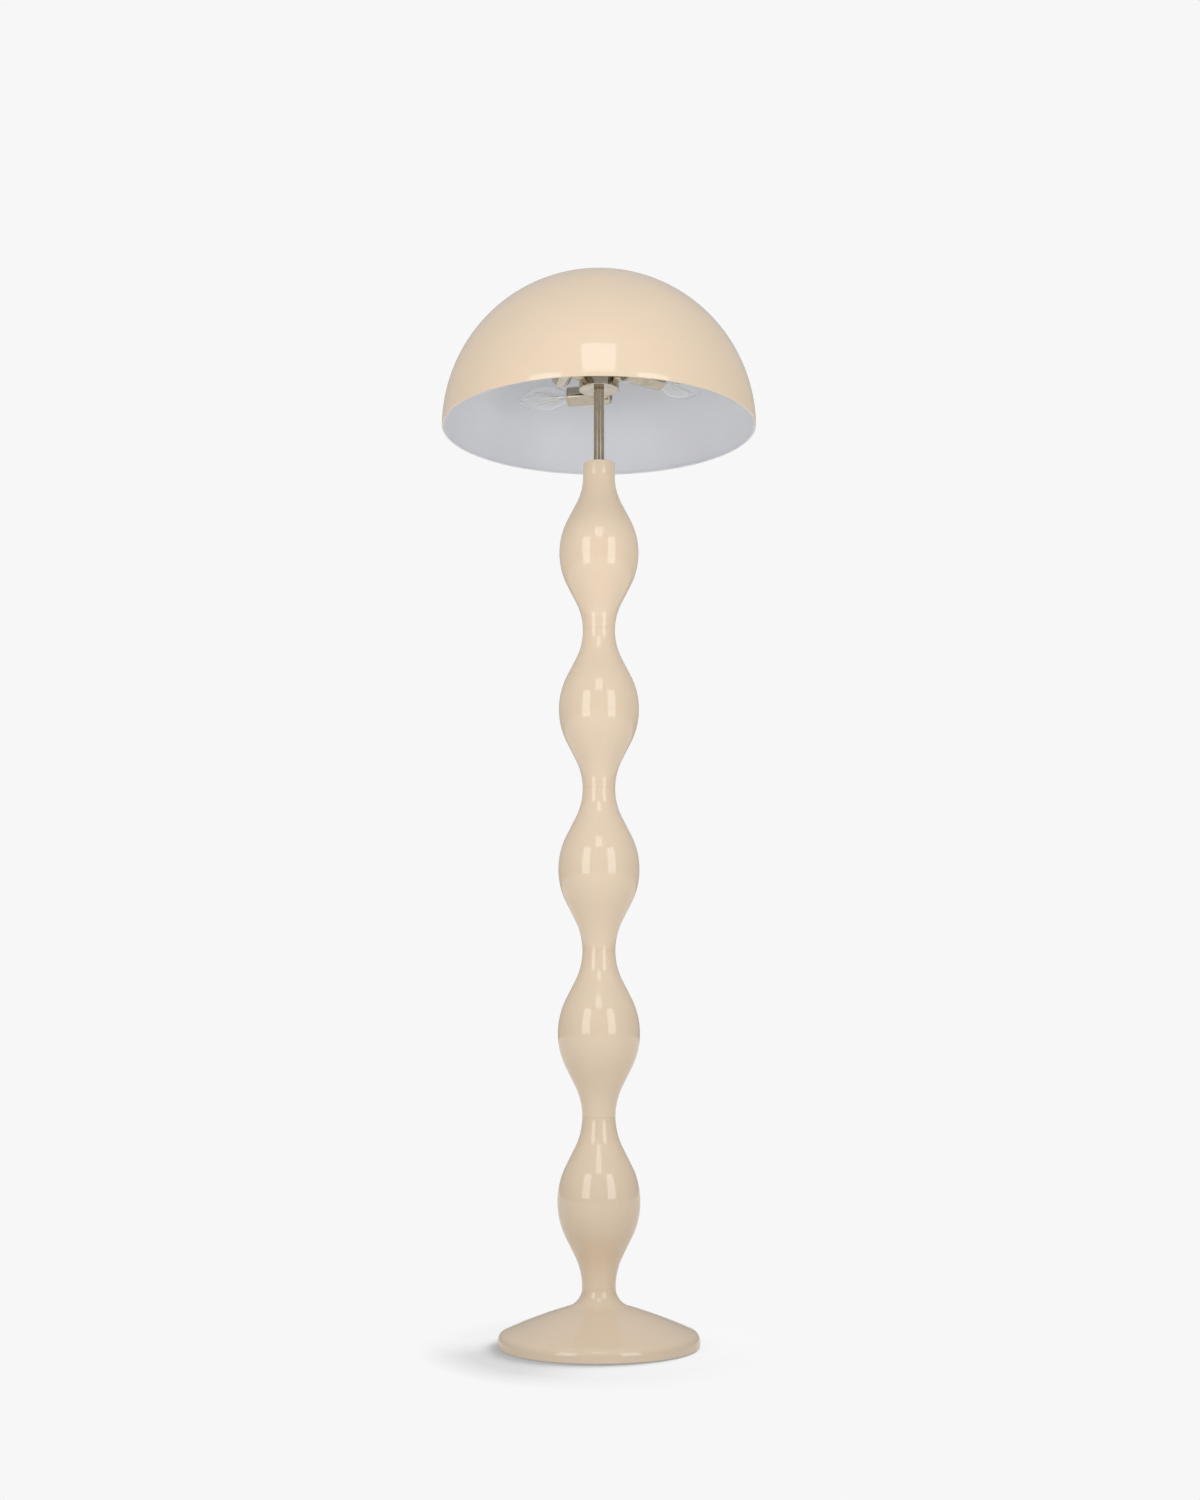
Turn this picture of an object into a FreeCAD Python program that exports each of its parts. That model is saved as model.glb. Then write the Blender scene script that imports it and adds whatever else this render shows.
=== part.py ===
import FreeCAD, Part
import os
from FreeCAD import Placement, Rotation, Vector
import Sketcher

# A floor lamp with a half-round shade over a turned column of five bobbins.
# The frame is Z up, with X to the right and Y away from the viewer. The origin is the
# centre of the base on the floor. Lengths are in millimetres and angles in degrees.

SIZES = {
    # Base, from the floor up
    "pad_thickness": 2.0,
    "pad_radius": 118.0,
    "plate_thickness": 2.0,
    "edge_gap": 1.5,
    "base_radius": 126.6,
    "base_height": 72.0,
    "rim_wall_top": 8.35,
    "rim_rounding": 11.0,
    "rim_end_slope": 33.0,
    "cone_bulge_radius": 734.0,
    "cone_top_slope": 17.2,
    "base_neck_curve": 24.5,
    "shell_wall": 2.0,
    "shell_top_wall": 3.0,
    "weight_gap": 0.4,
    "well_radius": 20.0,
    "well_depth": 12.0,
    # Fixings of the base plate
    "screw_circle": 70.0,
    "screw_radius": 2.0,
    "screw_head_radius": 4.0,
    "screw_length": 14.0,
    "screw_gap": 0.1,
    "screw_end_gap": 1.0,
    "screw_azimuth": -90.0,
    # Bush for the cord at the back of the base
    "bush_radius": 5.0,
    "bush_bore": 3.2,
    "bush_height": 9.0,
    "bush_inner_end": 112.0,
    "bush_outer_end": 129.0,
    "bush_gap": 0.1,
    # Column
    "neck_radius": 21.2,
    "bead_radius": 52.5,
    "bobbin_height": 210.0,
    "flank_fullness": 0.627,
    "bead_curve_part": 0.534,
    "spigot_radius": 12.0,
    "spigot_length": 5.0,
    "spigot_gap": 0.15,
    "spigot_end_gap": 0.4,
    "collar_height": 22.7,
    "collar_rounding": 3.0,
    "column_bore": 5.5,
    # Threaded tube with its nuts and washers
    "tube_radius": 5.0,
    "tube_bore": 3.75,
    "tube_gap": 0.2,
    "tube_foot": 3.5,
    "nut_corner": 8.08,
    "nut_height": 5.0,
    "washer_radius": 11.0,
    "washer_thickness": 1.6,
    # Rod between the column and the lampholders
    "rod_radius": 7.0,
    "rod_length": 99.3,
    "rod_seat_depth": 3.0,
    # Hub that carries the three arms
    "hub_radius": 27.0,
    "hub_wall": 2.0,
    "hub_height": 40.0,
    "hub_edge": 0.8,
    "cover_thickness": 3.0,
    "block_radius": 11.0,
    "block_depth": 10.0,
    "block_width": 14.0,
    "block_height": 12.0,
    # Arms
    "arm_height": 10.7,
    "arm_radius": 6.0,
    "arm_stub": 5.0,
    "arm_bore": 3.0,
    "arm_reach": 56.0,
    "arm_azimuth": 91.5,
    "arm_nut_height": 4.0,
    "arm_thread_end": 1.0,
    # Lampholders, each measured from its closed end
    "sleeve_turn_1": 76.5,
    "sleeve_turn_2": 68.5,
    "sleeve_turn_3": 67.1,
    "sleeve_radius": 13.2,
    "sleeve_wall": 1.2,
    "sleeve_length": 60.0,
    "sleeve_rounding": 2.5,
    "sleeve_entry": 18.0,
    "insert_start": 28.0,
    "insert_length": 28.0,
    "insert_floor": 4.0,
    "insert_gap": 0.1,
    "shell_gap": 0.25,
    "socket_shell_wall": 0.35,
    "socket_shell_length": 18.0,
    "contact_radius": 4.0,
    "contact_thickness": 1.2,
    "contact_gap": 0.3,
    "ring_bore": 10.0,
    "ring_proud": 0.5,
    # Candle bulbs, each measured from the tip of its cap
    "cap_radius": 6.85,
    "cap_length": 18.0,
    "cap_button": 2.5,
    "cap_shoulder": 3.0,
    "cap_wall": 0.6,
    "glass_neck_radius": 6.1,
    "glass_neck_end": 23.0,
    "glass_radius": 17.5,
    "glass_widest": 55.0,
    "bulb_length": 98.0,
    "glass_tip_radius": 1.8,
    "glass_wall": 0.9,
    "glass_tuck": 6.0,
    "stem_radius": 3.2,
    "stem_end": 48.0,
    "filament_radius": 1.0,
    "filament_length": 32.0,
    "filament_lean": 14.0,
    "filament_foot": 40.0,
    "filament_offset": 2.6,
    "filament_azimuth": 45.0,
    # Shade, with the height of its rim above the collar
    "shade_radius": 210.0,
    "shade_wall": 1.2,
    "rim_height": 42.3,
    "hem_height": 3.0,
    "hem_wall": 2.4,
    "shade_flat": 15.0,
    "finial_radius": 11.0,
    "finial_height": 8.0,
    "finial_edge": 2.0,
    "finial_thread_depth": 5.8,
    "finial_gap": 0.7,
    "stud_above_shade": 3.8,
}

BOBBIN_COUNT = 5
ARM_COUNT = 3
PLATE_SCREW_COUNT = 3
FILAMENT_COUNT = 4
NUT_SIDES = 6
FULL_TURN = 360.0
STRAIGHT = None

# Heights that follow from the stack, as expressions on the sheet
COLLAR_BOTTOM = f"Sizes.base_height + {BOBBIN_COUNT} * Sizes.bobbin_height"
COLLAR_TOP = f"({COLLAR_BOTTOM} + Sizes.collar_height)"
HUB_BOTTOM = f"({COLLAR_TOP} + Sizes.rod_length)"
ARM_AXIS = f"({HUB_BOTTOM} + Sizes.arm_height)"
HUB_TOP = f"({HUB_BOTTOM} + Sizes.hub_height)"
SHADE_RIM = f"({COLLAR_TOP} + Sizes.rim_height)"
SHADE_RISE = "sqrt(Sizes.shade_radius ^ 2 - Sizes.shade_flat ^ 2)"
SHADE_SEAT = f"({SHADE_RIM} + {SHADE_RISE})"
TUBE_TOP = f"({SHADE_SEAT} + Sizes.stud_above_shade)"
WEIGHT_BOTTOM = "(Sizes.pad_thickness + Sizes.plate_thickness)"
WELL_TOP = f"({WEIGHT_BOTTOM} + Sizes.well_depth)"
HOLDER_HEAD = "(Sizes.sleeve_length + Sizes.ring_proud)"
BULB_START = "(Sizes.insert_start + Sizes.insert_floor + Sizes.contact_thickness + Sizes.contact_gap)"


def make_sheet(doc):
    """Write the driving dimensions, one per row, with the name as the alias."""
    sheet = doc.addObject("Spreadsheet::Sheet", "Sizes")
    for row, (name, value) in enumerate(SIZES.items(), start=1):
        sheet.set(f"A{row}", name)
        sheet.set(f"B{row}", str(value))
        sheet.setAlias(f"B{row}", name)
    doc.recompute()
    return sheet


def value_of(doc, expression):
    """The present value of an expression on the sheet, as a plain number."""
    result = doc.getObject("Sizes").evalExpression(expression)
    return float(getattr(result, "Value", result))


def new_sketch(body, name):
    """A sketch on the body's upright plane, with X to the right and its own Y upward."""
    upright = next(item for item in body.Origin.OriginFeatures if item.Role == "XZ_Plane")
    sketch = body.newObject("Sketcher::SketchObject", name)
    sketch.AttachmentSupport = (upright, [""])
    sketch.MapMode = "FlatFace"
    return sketch


def arc_between(start, end, radius, side):
    """An arc from start to end with its centre on the given side, and whether it runs forward."""
    middle = (start + end) / 2
    chord = end - start
    across = Vector(-chord.y, chord.x, 0)
    across.normalize()
    rise = max(radius ** 2 - (chord.Length / 2) ** 2, 0.0) ** 0.5
    centre = middle + across * (rise if side == "left" else -rise)
    forward = side == "left"
    first, last = (start, end) if forward else (end, start)
    circle = Part.Circle(centre, Vector(0, 0, 1), radius)
    arc = Part.ArcOfCircle(circle, circle.parameter(first), circle.parameter(last))
    return arc, forward


def draw_outline(doc, sketch, steps):
    """Draw a closed outline. A step is (x, y, curve), and curve is (radius, side) or STRAIGHT."""
    corners = [Vector(value_of(doc, x), value_of(doc, y), 0) for x, y, _ in steps]
    ends = []
    arcs = []
    for number, (_, _, curve) in enumerate(steps):
        start = corners[number]
        end = corners[(number + 1) % len(corners)]
        if curve is STRAIGHT:
            edge = sketch.addGeometry(Part.LineSegment(start, end))
            ends.append((edge, 1, 2))
            continue
        radius, side = curve
        arc, forward = arc_between(start, end, value_of(doc, radius), side)
        edge = sketch.addGeometry(arc)
        ends.append((edge, 1, 2) if forward else (edge, 2, 1))
        arcs.append((edge, radius))
    for number, (edge, _, tail) in enumerate(ends):
        next_edge, head, _ = ends[(number + 1) % len(ends)]
        sketch.addConstraint(Sketcher.Constraint("Coincident", edge, tail, next_edge, head))
    for (edge, head, _), corner, (x, y, _) in zip(ends, corners, steps):
        pin_point(sketch, edge, head, "DistanceX", corner.x, x, upright_axis=True)
        pin_point(sketch, edge, head, "DistanceY", corner.y, y, upright_axis=False)
    for edge, radius in arcs:
        index = sketch.addConstraint(Sketcher.Constraint("Radius", edge, value_of(doc, radius)))
        sketch.setExpression(f"Constraints[{index}]", radius)


def pin_point(sketch, edge, point, kind, number, expression, upright_axis):
    """Hold one coordinate of a corner at its expression, or on the axis where it is zero."""
    if expression == "0":
        axis = -2 if upright_axis else -1
        sketch.addConstraint(Sketcher.Constraint("PointOnObject", edge, point, axis))
        return
    index = sketch.addConstraint(Sketcher.Constraint(kind, edge, point, number))
    sketch.setExpression(f"Constraints[{index}]", expression)


def turned(doc, label, steps, lying=False):
    """A turned piece: an outline of (radius, height) steps spun about Z.

    A lying piece has (distance along, radius) steps instead and is spun about X.
    """
    body = doc.addObject("PartDesign::Body", label)
    sketch = new_sketch(body, label + "_outline")
    draw_outline(doc, sketch, steps)
    spin = body.newObject("PartDesign::Revolution", label + "_turning")
    spin.Profile = sketch
    spin.ReferenceAxis = (sketch, ["H_Axis" if lying else "V_Axis"])
    spin.Angle = FULL_TURN
    sketch.Visibility = False
    return body


def place(item, x="0", y="0", z="0", turn="0"):
    """Put a sub-part at (x, y, z), turned about Z."""
    item.Placement = Placement(Vector(0, 0, 0), Rotation(Vector(0, 0, 1), 0))
    item.setExpression("Placement.Base.x", x)
    item.setExpression("Placement.Base.y", y)
    item.setExpression("Placement.Base.z", z)
    item.setExpression("Placement.Rotation.Angle", turn)
    return item


def ring_steps(inner, outer, bottom, top):
    """A plain ring of rectangular section."""
    return [
        (inner, bottom, STRAIGHT),
        (outer, bottom, STRAIGHT),
        (outer, top, STRAIGHT),
        (inner, top, STRAIGHT),
    ]


def nut(doc, label, bore, height):
    """A plain six-sided nut, bottom face at its origin."""
    blank = doc.addObject("Part::Prism", label + "_blank")
    blank.Polygon = NUT_SIDES
    blank.setExpression("Circumradius", "Sizes.nut_corner")
    blank.setExpression("Height", height)
    hole = doc.addObject("Part::Cylinder", label + "_hole")
    hole.setExpression("Radius", bore)
    hole.setExpression("Height", height)
    return cut(doc, label, blank, hole)


def cut(doc, label, base, tool):
    """One piece with another taken away."""
    result = doc.addObject("Part::Cut", label)
    result.Base = base
    result.Tool = tool
    return result


def joined(doc, label, pieces):
    """Several pieces made into one."""
    result = doc.addObject("Part::MultiFuse", label)
    result.Shapes = pieces
    return result


def rod_along_x(doc, label, radius, start, end):
    """A round bar along X from start to end."""
    bar = doc.addObject("Part::Cylinder", label)
    bar.Placement = Placement(Vector(0, 0, 0), Rotation(Vector(0, 1, 0), 90))
    bar.setExpression("Radius", radius)
    bar.setExpression("Height", f"({end}) - ({start})")
    bar.setExpression("Placement.Base.x", start)
    return bar


# ---------------------------------------------------------------- base


def base_skin(offset):
    """The base's outer line at a depth below its surface, from the floor edge to the neck."""
    centre = "Sizes.base_radius - Sizes.rim_rounding"
    rim = f"(Sizes.rim_rounding - {offset})"
    neck = f"(Sizes.base_neck_curve + {offset})"
    neck_centre = "(Sizes.neck_radius + Sizes.base_neck_curve)"
    rim_end = (
        f"{centre} + {rim} * sin(Sizes.rim_end_slope)",
        f"Sizes.rim_wall_top + {rim} * cos(Sizes.rim_end_slope)",
    )
    cone_end = (
        f"{neck_centre} - {neck} * sin(Sizes.cone_top_slope)",
        f"Sizes.base_height - {neck} * cos(Sizes.cone_top_slope)",
    )
    wall = f"Sizes.base_radius - {offset}"
    return wall, rim, rim_end, cone_end, neck


def make_base_shell(doc):
    """The spun cover: upright edge, rounded rim, shallow cone and a neck for the column."""
    wall_out, rim_out, rim_end, cone_end, neck_out = base_skin("0")
    wall_in, rim_in, rim_end_in, cone_end_in, neck_in = base_skin("Sizes.shell_wall")
    neck_inner = "Sizes.neck_radius - Sizes.shell_wall"
    flange = "Sizes.base_height - Sizes.shell_top_wall"
    hole = "Sizes.spigot_radius + Sizes.spigot_gap"
    steps = [
        (wall_out, "Sizes.edge_gap", STRAIGHT),
        (wall_out, "Sizes.rim_wall_top", (rim_out, "left")),
        (rim_end[0], rim_end[1], ("Sizes.cone_bulge_radius", "left")),
        (cone_end[0], cone_end[1], (neck_out, "right")),
        ("Sizes.neck_radius", "Sizes.base_height", STRAIGHT),
        (hole, "Sizes.base_height", STRAIGHT),
        (hole, flange, STRAIGHT),
        (neck_inner, flange, STRAIGHT),
        (cone_end_in[0], cone_end_in[1], ("Sizes.cone_bulge_radius - Sizes.shell_wall", "right")),
        (rim_end_in[0], rim_end_in[1], (rim_in, "right")),
        (wall_in, "Sizes.rim_wall_top", STRAIGHT),
        (wall_in, "Sizes.edge_gap", STRAIGHT),
    ]
    body = turned(doc, "base_shell", steps)
    doc.recompute()
    bush_hole = new_sketch(body, "bush_hole_circle")
    circle = bush_hole.addGeometry(Part.Circle(Vector(0, value_of(doc, "Sizes.bush_height"), 0),
                                               Vector(0, 0, 1), value_of(doc, "Sizes.bush_radius")))
    bush_hole.addConstraint(Sketcher.Constraint("PointOnObject", circle, 3, -2))
    bush_hole.addConstraint(Sketcher.Constraint("DistanceY", circle, 3, 1.0))
    bush_hole.addConstraint(Sketcher.Constraint("Radius", circle, 1.0))
    bush_hole.setExpression("Constraints[1]", "Sizes.bush_height")
    bush_hole.setExpression("Constraints[2]", "Sizes.bush_radius + Sizes.bush_gap")
    cut_to_the_rear(doc, body, bush_hole, "bush_hole")
    return body


def cut_to_the_rear(doc, body, sketch, name):
    """Cut a sketch through the body towards +Y only."""
    before = body.Shape.Volume
    pocket = body.newObject("PartDesign::Pocket", name)
    pocket.Profile = sketch
    pocket.Type = "Length"
    pocket.setExpression("Length", "2 * Sizes.base_radius")
    pocket.Reversed = False
    doc.recompute()
    rear_balance = sum(solid.CenterOfMass.y for solid in body.Shape.Solids)
    if rear_balance > 0:
        pocket.Reversed = True
        doc.recompute()
    if body.Shape.Volume >= before:
        raise RuntimeError(name + " cuts nothing")
    sketch.Visibility = False


def make_base_weight(doc):
    """The iron weight: it fills the cover up to the start of the neck."""
    depth = "(Sizes.shell_wall + Sizes.weight_gap)"
    wall, rim, rim_end, cone_end, _ = base_skin(depth)
    steps = [
        ("Sizes.well_radius", WEIGHT_BOTTOM, STRAIGHT),
        (wall, WEIGHT_BOTTOM, STRAIGHT),
        (wall, "Sizes.rim_wall_top", (rim, "left")),
        (rim_end[0], rim_end[1], (f"Sizes.cone_bulge_radius - {depth}", "left")),
        (cone_end[0], cone_end[1], STRAIGHT),
        ("Sizes.column_bore", cone_end[1], STRAIGHT),
        ("Sizes.column_bore", WELL_TOP, STRAIGHT),
        ("Sizes.well_radius", WELL_TOP, STRAIGHT),
    ]
    body = turned(doc, "base_weight_casting", steps)
    doc.recompute()
    sketch = new_sketch(body, "cord_channel_outline")
    half = "Sizes.bush_radius + Sizes.bush_gap"
    top = f"Sizes.bush_height + {half}"
    channel = [
        (half, "0", STRAIGHT),
        (half, top, STRAIGHT),
        (f"-({half})", top, STRAIGHT),
        (f"-({half})", "0", STRAIGHT),
    ]
    draw_outline(doc, sketch, channel)
    cut_to_the_rear(doc, body, sketch, "cord_channel")
    holes = []
    for number in range(PLATE_SCREW_COUNT):
        hole = doc.addObject("Part::Cylinder", f"weight_screw_hole_{number + 1}")
        hole.setExpression("Radius", "Sizes.screw_radius + Sizes.screw_gap")
        hole.setExpression("Height", "Sizes.screw_length + Sizes.screw_end_gap")
        screw_place(hole, number, "Sizes.pad_thickness")
        holes.append(hole)
    return cut(doc, "base_weight", body, joined(doc, "weight_screw_holes", holes))


def screw_place(item, number, height):
    """Put a screw or its hole on the screw circle, clear of the cord's channel."""
    angle = f"(Sizes.screw_azimuth + {number * FULL_TURN / PLATE_SCREW_COUNT})"
    place(item, f"Sizes.screw_circle * cos({angle})", f"Sizes.screw_circle * sin({angle})", height)


def screw_solid(doc, label, gap):
    """A countersunk screw, or its hole when a gap is added, with its head down."""
    head = doc.addObject("Part::Cone", label + "_head")
    head.setExpression("Radius1", f"Sizes.screw_head_radius + {gap}")
    head.setExpression("Radius2", f"Sizes.screw_radius + {gap}")
    head.setExpression("Height", "Sizes.plate_thickness")
    shank = doc.addObject("Part::Cylinder", label + "_shank")
    shank.setExpression("Radius", f"Sizes.screw_radius + {gap}")
    shank.setExpression("Height", "Sizes.screw_length")
    return joined(doc, label, [head, shank])


def make_base_plate(doc):
    """The steel plate that closes the base, with three countersunk holes."""
    disc = turned(doc, "base_plate_disc", ring_steps(
        "Sizes.well_radius", "Sizes.base_radius - Sizes.shell_wall - Sizes.weight_gap",
        "Sizes.pad_thickness", WEIGHT_BOTTOM))
    holes = []
    for number in range(PLATE_SCREW_COUNT):
        hole = screw_solid(doc, f"plate_screw_hole_{number + 1}", "Sizes.screw_gap")
        screw_place(hole, number, "Sizes.pad_thickness")
        holes.append(hole)
    return cut(doc, "base_plate", disc, joined(doc, "plate_screw_holes", holes))


def make_base_screws(doc):
    """Three countersunk screws that hold the plate to the weight."""
    screws = []
    for number in range(PLATE_SCREW_COUNT):
        screw = screw_solid(doc, f"base_screw_{number + 1}", "0")
        screw_place(screw, number, "Sizes.pad_thickness")
        screws.append(screw)
    group = doc.addObject("Part::Compound", "base_screws")
    group.Links = screws
    return group


def make_base(doc):
    """Everything from the floor to the first seam of the column."""
    pad = turned(doc, "base_pad", ring_steps(
        "Sizes.well_radius", "Sizes.pad_radius", "0", "Sizes.pad_thickness"))
    bush = turned(doc, "cord_bush", [
        ("Sizes.bush_bore", "Sizes.bush_inner_end", STRAIGHT),
        ("Sizes.bush_radius", "Sizes.bush_inner_end", STRAIGHT),
        ("Sizes.bush_radius", "Sizes.bush_outer_end", STRAIGHT),
        ("Sizes.bush_bore", "Sizes.bush_outer_end", STRAIGHT),
    ])
    bush.Placement = Placement(Vector(0, 0, 0), Rotation(Vector(1, 0, 0), -90))
    bush.setExpression("Placement.Base.z", "Sizes.bush_height")
    foot_nut = nut(doc, "base_nut", "Sizes.tube_radius + Sizes.tube_gap", "Sizes.nut_height")
    place(foot_nut, z=f"{WELL_TOP} - Sizes.washer_thickness - Sizes.nut_height")
    washer = turned(doc, "base_washer", ring_steps(
        "Sizes.tube_radius + Sizes.tube_gap", "Sizes.washer_radius",
        f"{WELL_TOP} - Sizes.washer_thickness", WELL_TOP))
    return [make_base_shell(doc), make_base_weight(doc), make_base_plate(doc), pad,
            make_base_screws(doc), bush, foot_nut, washer]


# -------------------------------------------------------------- column


def bobbin_curves():
    """Where a bobbin's flank touches its two curves, as expressions on the sheet.

    A quarter of the bobbin is an arc at the neck, a straight flank and an arc at the bead.
    The flank leans a little more than the chord does, and the arcs' radii close the line.
    """
    half = "(Sizes.bobbin_height / 2)"
    drop = "(Sizes.bead_radius - Sizes.neck_radius)"
    lean = f"(atan({drop} / {half}) * (1 + Sizes.flank_fullness))"
    curves = f"(({half} * sin({lean}) - {drop} * cos({lean})) / (1 - cos({lean})))"
    bead_curve = f"({curves} * Sizes.bead_curve_part)"
    neck_curve = f"({curves} * (1 - Sizes.bead_curve_part))"
    neck_end = (f"Sizes.neck_radius + {neck_curve} * (1 - cos({lean}))", f"{neck_curve} * sin({lean})")
    bead_start = (f"Sizes.bead_radius - {bead_curve} * (1 - cos({lean}))",
                  f"{half} - {bead_curve} * sin({lean})")
    return neck_curve, bead_curve, neck_end, bead_start


def bobbin_steps():
    """A bobbin's half section, with a spigot below and a matching recess above."""
    neck_curve, bead_curve, neck_end, bead_start = bobbin_curves()
    foot = "Sizes.spigot_length"
    top = f"{foot} + Sizes.bobbin_height"
    recess = "Sizes.spigot_radius + Sizes.spigot_gap"
    recess_floor = "Sizes.bobbin_height - Sizes.spigot_end_gap"
    return [
        ("Sizes.column_bore", "0", STRAIGHT),
        ("Sizes.spigot_radius", "0", STRAIGHT),
        ("Sizes.spigot_radius", foot, STRAIGHT),
        ("Sizes.neck_radius", foot, (neck_curve, "right")),
        (neck_end[0], f"{foot} + {neck_end[1]}", STRAIGHT),
        (bead_start[0], f"{foot} + {bead_start[1]}", (bead_curve, "left")),
        (bead_start[0], f"{top} - ({bead_start[1]})", STRAIGHT),
        (neck_end[0], f"{top} - ({neck_end[1]})", (neck_curve, "right")),
        ("Sizes.neck_radius", top, STRAIGHT),
        (recess, top, STRAIGHT),
        (recess, recess_floor, STRAIGHT),
        ("Sizes.column_bore", recess_floor, STRAIGHT),
    ]


def make_column(doc):
    """Five bobbins, the collar on top of them and the rod above it."""
    pieces = []
    for number in range(BOBBIN_COUNT):
        bobbin = turned(doc, f"bobbin_{number + 1}", bobbin_steps())
        seam = f"Sizes.base_height + {number} * Sizes.bobbin_height"
        pieces.append(place(bobbin, z=f"{seam} - Sizes.spigot_length"))
    foot = "Sizes.spigot_length"
    top = f"{foot} + Sizes.collar_height"
    seat = f"{top} - Sizes.rod_seat_depth"
    collar = turned(doc, "column_collar", [
        ("Sizes.column_bore", "0", STRAIGHT),
        ("Sizes.spigot_radius", "0", STRAIGHT),
        ("Sizes.spigot_radius", foot, STRAIGHT),
        ("Sizes.neck_radius", foot, STRAIGHT),
        ("Sizes.neck_radius", f"{top} - Sizes.collar_rounding", ("Sizes.collar_rounding", "left")),
        ("Sizes.neck_radius - Sizes.collar_rounding", top, STRAIGHT),
        ("Sizes.rod_radius + Sizes.spigot_gap", top, STRAIGHT),
        ("Sizes.rod_radius + Sizes.spigot_gap", seat, STRAIGHT),
        ("Sizes.column_bore", seat, STRAIGHT),
    ])
    pieces.append(place(collar, z=f"{COLLAR_BOTTOM} - Sizes.spigot_length"))
    pieces.append(turned(doc, "rod_sleeve", ring_steps(
        "Sizes.tube_radius + Sizes.tube_gap", "Sizes.rod_radius",
        f"{COLLAR_TOP} - Sizes.rod_seat_depth", HUB_BOTTOM)))
    pieces.append(turned(doc, "central_tube", ring_steps(
        "Sizes.tube_bore", "Sizes.tube_radius", "Sizes.tube_foot", TUBE_TOP)))
    return pieces


# ----------------------------------------------------------------- hub


def make_hub(doc):
    """The cup that carries the arms, its cover, its nuts and the terminal block in it."""
    inner = "Sizes.hub_radius - Sizes.hub_wall"
    tube_hole = "Sizes.tube_radius + Sizes.tube_gap"
    floor = f"{HUB_BOTTOM} + Sizes.hub_wall"
    cup = turned(doc, "hub_cup", [
        (tube_hole, HUB_BOTTOM, STRAIGHT),
        ("Sizes.hub_radius - Sizes.hub_edge", HUB_BOTTOM, ("Sizes.hub_edge", "left")),
        ("Sizes.hub_radius", f"{HUB_BOTTOM} + Sizes.hub_edge", STRAIGHT),
        ("Sizes.hub_radius", HUB_TOP, STRAIGHT),
        (inner, HUB_TOP, STRAIGHT),
        (inner, floor, STRAIGHT),
        (tube_hole, floor, STRAIGHT),
    ])
    holes = []
    for number in range(ARM_COUNT):
        hole = rod_along_x(doc, f"hub_arm_hole_{number + 1}", "Sizes.arm_stub",
                           "Sizes.hub_radius / 2", "Sizes.hub_radius * 1.5")
        hole.setExpression("Placement", arm_frame(number, "Sizes.hub_radius / 2", pitch="90"))
        holes.append(hole)
    hub = cut(doc, "hub_body", cup, joined(doc, "hub_arm_holes", holes))
    cover = turned(doc, "hub_cover", [
        (tube_hole, f"{HUB_TOP} - Sizes.cover_thickness", STRAIGHT),
        (f"{inner} - Sizes.insert_gap", f"{HUB_TOP} - Sizes.cover_thickness", STRAIGHT),
        (f"{inner} - Sizes.insert_gap", HUB_TOP, STRAIGHT),
        ("Sizes.hub_radius", HUB_TOP, STRAIGHT),
        ("Sizes.hub_radius", f"{HUB_TOP} + Sizes.cover_thickness", STRAIGHT),
        (tube_hole, f"{HUB_TOP} + Sizes.cover_thickness", STRAIGHT),
    ])
    hub_nut = place(nut(doc, "hub_nut", tube_hole, "Sizes.nut_height"), z=floor)
    cover_nut = place(nut(doc, "cover_nut", tube_hole, "Sizes.nut_height"),
                      z=f"{HUB_TOP} + Sizes.cover_thickness")
    block = doc.addObject("Part::Box", "terminal_block")
    block.setExpression("Length", "Sizes.block_depth")
    block.setExpression("Width", "Sizes.block_width")
    block.setExpression("Height", "Sizes.block_height")
    turn = f"(Sizes.arm_azimuth - {FULL_TURN / ARM_COUNT / 2})"
    place(block,
          f"Sizes.block_radius * cos({turn}) + Sizes.block_width / 2 * sin({turn})",
          f"Sizes.block_radius * sin({turn}) - Sizes.block_width / 2 * cos({turn})",
          floor, turn)
    return [hub, cover, hub_nut, cover_nut, block]


# ---------------------------------------------------- arms and holders


def arm_azimuth(number):
    """The direction of an arm, counted from the first."""
    return f"(Sizes.arm_azimuth + {number * FULL_TURN / ARM_COUNT})"


def arm_frame(number, distance, pitch="0"):
    """The placement at a distance along an arm. A pitch of 90 turns Z along the arm."""
    turn = arm_azimuth(number)
    base = f"vector({distance} * cos({turn}); {distance} * sin({turn}); {ARM_AXIS})"
    return f"placement({base}; rotation({turn}; {pitch}; 0))"


def sleeve_azimuth(number):
    """The direction in which a sleeve opens."""
    return f"({arm_azimuth(number)} + Sizes.sleeve_turn_{number + 1})"


def holder_frame(number, along="0"):
    """The placement of a lampholder piece whose X axis is the sleeve's axis."""
    arm = arm_azimuth(number)
    turn = sleeve_azimuth(number)
    back = f"({along} - Sizes.sleeve_entry)"
    east = f"Sizes.arm_reach * cos({arm}) + {back} * cos({turn})"
    north = f"Sizes.arm_reach * sin({arm}) + {back} * sin({turn})"
    return f"placement(vector({east}; {north}; {ARM_AXIS}); rotation({turn}; 0; 0))"


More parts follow.
